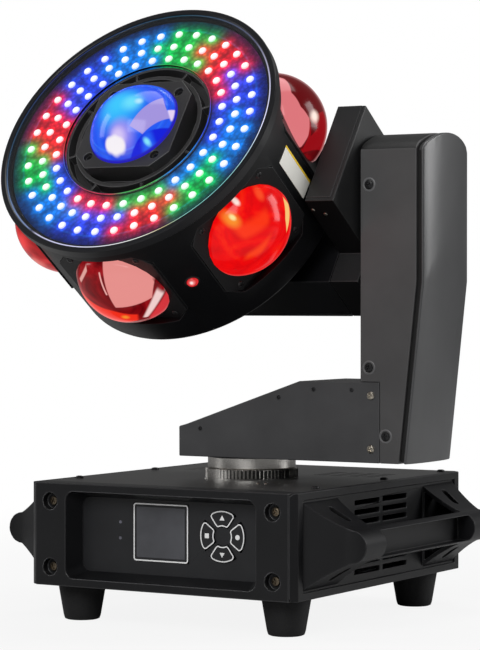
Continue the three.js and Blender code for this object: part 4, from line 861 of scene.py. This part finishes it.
# Hub: a black moulding in the middle of the face, with a ribbed groove round it and a raised
# eight-sided plate that holds the centre lens with four sunk screws.
hub_black = finish("hub_black", (0.021, 0.0205, 0.021), 0.4, grain=0.7, relief=0.02, edge_wear_and_highlight=0.5)
hub_back, plate_thickness, hub_screw, screw_floor = 139.4, 22.8, 34, 158
hub = turned([(42.6, -139.2), (42.6, -142.2), (57, -142.2), (57, -153.2), (61, -153.2),
              (61, -142.2), (68.1, -142.2), (68.1, -153.2), (70.5, -153.2), (70.5, -149.2),
              (76, -149.2), (76, -146.8), (70.5, -146.8), (70.5, -139.2)], 144, "Y")
for step in range(8):
    rib = block(56.5, 69.5, -151.6, -141.5, -1.1, 1.1)
    add(hub, rib, Matrix.Rotation(math.radians(22.5 + 45 * step), 4, "Y"))
plate = sheet(96, 93, 15, 1)
thicken(plate, (0, 0, plate_thickness))
bmesh.ops.translate(plate, vec=(0, 0, hub_back), verts=plate.verts)
plate_holes = [turned([(0, 130), (42.4, 130), (42.4, 170), (0, 170)], 96)]
hub_spots = [(x, z) for x in (-hub_screw, hub_screw) for z in (-hub_screw, hub_screw)]
for x, z in hub_spots:
    hole = turned([(0, screw_floor), (4.3, screw_floor), (4.3, 170), (0, 170)], 24)
    bmesh.ops.translate(hole, vec=(x, z, 0), verts=hole.verts)
    plate_holes.append(hole)
add(hub, carved(plate, *plate_holes), to_front.to_4x4())
hub.transform(drum_place)
fit(hub, "hub_moulding", "head", hub_black, "centre_bezel", 0.5)
screws("hub_screws", "head", [drum_place @ Vector((x, -158.2, z)) for x, z in hub_spots],
       drum_turn @ forward, radius=3.2, height=1.6, made=black_screw)

# Centre lens: one large clear dome. The blue light engine behind it shows through as a cyan sky at
# the upper left, a pale lilac wedge at the right, deep blue below it and one white hot spot, with
# painted highlights laid among them.
lens_place = drum_place @ Matrix.Translation((0, -162.2, 0)) @ to_front.to_4x4()
blue = lit_lens("blue_lens", lens_place, [(0.012, 0.05, 0.78), (0.015, 0.09, 0.9),
                                          (0.03, 0.16, 1.0)], [
    ((0.03, 0.36, 1.0), 0, -2, 8, 32),
    ((0.05, 0.62, 1.0), -1.7, 1.7, 2, 24),
    ((0.16, 0.8, 1.0), 10, 4, 1, 13),
    ((0.5, 0.88, 1.0), 15.6, 6.4, 0.5, 5),
    ((0.03, 0.16, 0.95), 36.2, 37.2),
    ((0.02, 0.1, 0.8), 38.2, 39.2),
    ((0.4, 0.33, 0.9), 6, -25, 3, 17),
    ((0.72, 0.6, 0.95), 4, -27, 2, 10),
    ((1.0, 0.93, 0.93), -4.6, -32.2, 3.2, 6.6),
    ((1.0, 0.93, 0.93), 5.4, -32.6, 3.2, 6.6),
    ((1.0, 0.95, 0.95), 0.6, -32.6, 4.6, 8.0),
    ((0.008, 0.012, 0.72), [(6.1, -38.5), (24.5, -22), (39.7, 1), (48, -5), (32, -44), (8, -48)],
     1.2),
    ((0.02, 0.12, 0.95), [(24.5, -22), (30, -17), (36, -34), (24, -40)], 6),
    ((0.4, 0.32, 0.74), [(14, -18.4), (29.3, 18.5), (39.7, 1), (24.5, -22)], 0.8),
    ((0.85, 0.7, 0.95), [(36.5, 7), (40.5, -1), (44, 6), (40, 13)], 1.5),
    ((0.25, 0.85, 1.0), 27.6, -25.7, 0.5, 3.8),
    ((0.02, 0.012, 0.5), 41, 48)], cloudy=12)
lens = dome(-26.3, 0.3, 96, 20)
lens.transform(lens_place)
fit(lens, "centre_dome", "head", blue, "centre_lens")

# Light engine: a six-sided LED carrier and a finned heat sink of bare aluminium, screwed to the
# drum's back wall inside it.
sink_metal = finish("sink_metal", (0.5, 0.51, 0.52), 0.4, grain=1.5, relief=0.02, metallic=0.95)
dress(sink_metal, "light_engine")

# Neck, rear housing and its vented cover: black mouldings behind and beside the drum that carry
# it on the tilt shaft. A thin cover closes the neck's front, and a fan turns behind the grille.
neck_grain = finish("neck_moulding", (0.0105, 0.0107, 0.0112), 0.42, grain=0.8, relief=0.035,
                    edge_wear_and_highlight=0.3)
neck_shade_paint = finish("painted_neck_shade", (0.0035, 0.0035, 0.0038), 0.45, grain=0.8, relief=0.03,
                    shine=0.1)
neck = whole("head_neck")
neck.normal_update()
# Faces that look down take a near-black painted shade.
for face in neck.faces:
    if face.normal.dot(head_turn @ downward) > 0.7:
        face.material_index = 1
fit(neck, "neck", "head", [neck_grain, neck_shade_paint], "head_neck", 1.0)
neck_cover = block(104.6, 128.4, -71.9, -71, -45.6, 54.2)
neck_cover.transform(head_place)
fit(neck_cover, "neck_front_cover", "head", neck_grain, edge=0.3)
neck_spots = [(106.7, -58.6, -49.2), (116.2, -52.5, -49.2), (108.5, 7.5, -49.2)]
screws("neck_screws", "head", [head_place @ Vector(spot) for spot in neck_spots],
       head_turn @ downward, radius=1.9, height=1.0, made=zinc_screw)
for node, name, edge in (("head_rear_housing", "rear_housing", 0.8),
                         ("head_rear_cover", "rear_cover", 0.5)):
    fit(whole(node), name, "head", drum_grain, node, edge)
screws("rear_cover_screws", "head",
       [head_place @ Vector((x, 58, z)) for x in (-93, 96) for z in (-73, 48)],
       head_turn @ rearward, radius=2.9, height=1.3, made=black_screw)
dress(socket_black, "head_fan")

# Studio: a pale floor that fades into the white surround, four soft lamps, and the camera at the
# photograph's place, 31 degrees round from the display side and near the floor.
floor_mesh = bmesh.new()
bmesh.ops.create_grid(floor_mesh, x_segments=1, y_segments=1, size=8)
floor_data = bpy.data.meshes.new("studio_floor")
floor_mesh.to_mesh(floor_data)
floor_mesh.free()
stand("studio_floor", floor_data)
floor_paint, tree = blank("pale_floor")
paint = tree.nodes["Principled BSDF"]
feed(tree, paint, {"Base Color": (0.45, 0.45, 0.45, 1), "Roughness": 0.6})
where = wire(tree, "TexCoord", {}).outputs["Object"]
far = wire(tree, "VectorMath", {0: where}, operation="LENGTH").outputs["Value"]
fade = spread(tree, far, 0.25, 1.3, 0.88, 1.0, interpolation_type="SMOOTHSTEP")
seen = wire(tree, "LightPath", {}).outputs["Is Camera Ray"]
share = wire(tree, "Math", {0: fade, 1: seen}, operation="MULTIPLY").outputs[0]
white = wire(tree, "Emission", {"Strength": 1.0}).outputs[0]
faded = wire(tree, "MixShader", {0: share, 1: paint.outputs[0], 2: white}).outputs[0]
feed(tree, tree.nodes["Material Output"], {"Surface": faded})
floor_data.materials.append(floor_paint)

world = bpy.data.worlds.new("white_surround")
bpy.context.scene.world = world
world.use_nodes = True
tree = world.node_tree
seen = wire(tree, "LightPath", {}).outputs["Is Camera Ray"]
feed(tree, tree.nodes["Background"], {
    "Color": (1, 1, 1, 1), "Strength": spread(tree, seen, 0, 1, 0.16, 1.0)})

for name, place, aim, width, height, watts in (
        ("key_lamp", (0.5, -2.0, 1.3), (0, 0, 0.25), 1.4, 1.0, 42),
        ("left_lamp", (-1.9, -0.9, 1.1), (0, 0, 0.25), 0.6, 1.2, 16),
        ("back_lamp", (1.78, 1.22, 1.1), (0, 0, 0.35), 0.8, 1.5, 34),
        ("top_lamp", (0.1, 0.3, 2.1), (0, 0, 0.3), 1.2, 1.0, 18)):
    light = bpy.data.lights.new(name, "AREA")
    light.shape = "RECTANGLE"
    light.size, light.size_y, light.energy = width, height, watts
    lamp = stand(name, light)
    lamp.location = Vector(place) + pan_axis * mm
    lamp.rotation_euler = (Vector(aim) - Vector(place)).to_track_quat("-Z", "Y").to_euler()

camera_data = bpy.data.cameras.new("camera")
camera = stand("camera", camera_data)
azimuth, elevation, distance = math.radians(31.07), math.radians(0.62), 2.230
aim = Vector((-0.00924, -0.00557, 0.2610)) + pan_axis * mm
camera.location = aim + distance * Vector((
    math.sin(azimuth) * math.cos(elevation),
    -math.cos(azimuth) * math.cos(elevation),
    math.sin(elevation)))
camera.rotation_euler = (aim - camera.location).to_track_quat("-Z", "Y").to_euler()
camera_data.sensor_fit = "AUTO"
camera_data.sensor_width = 36
photo_height, focal_length = 650, 2450
camera_data.lens = camera_data.sensor_width * focal_length / photo_height
bpy.context.scene.camera = camera
bpy.context.scene.view_settings.view_transform = "Standard"
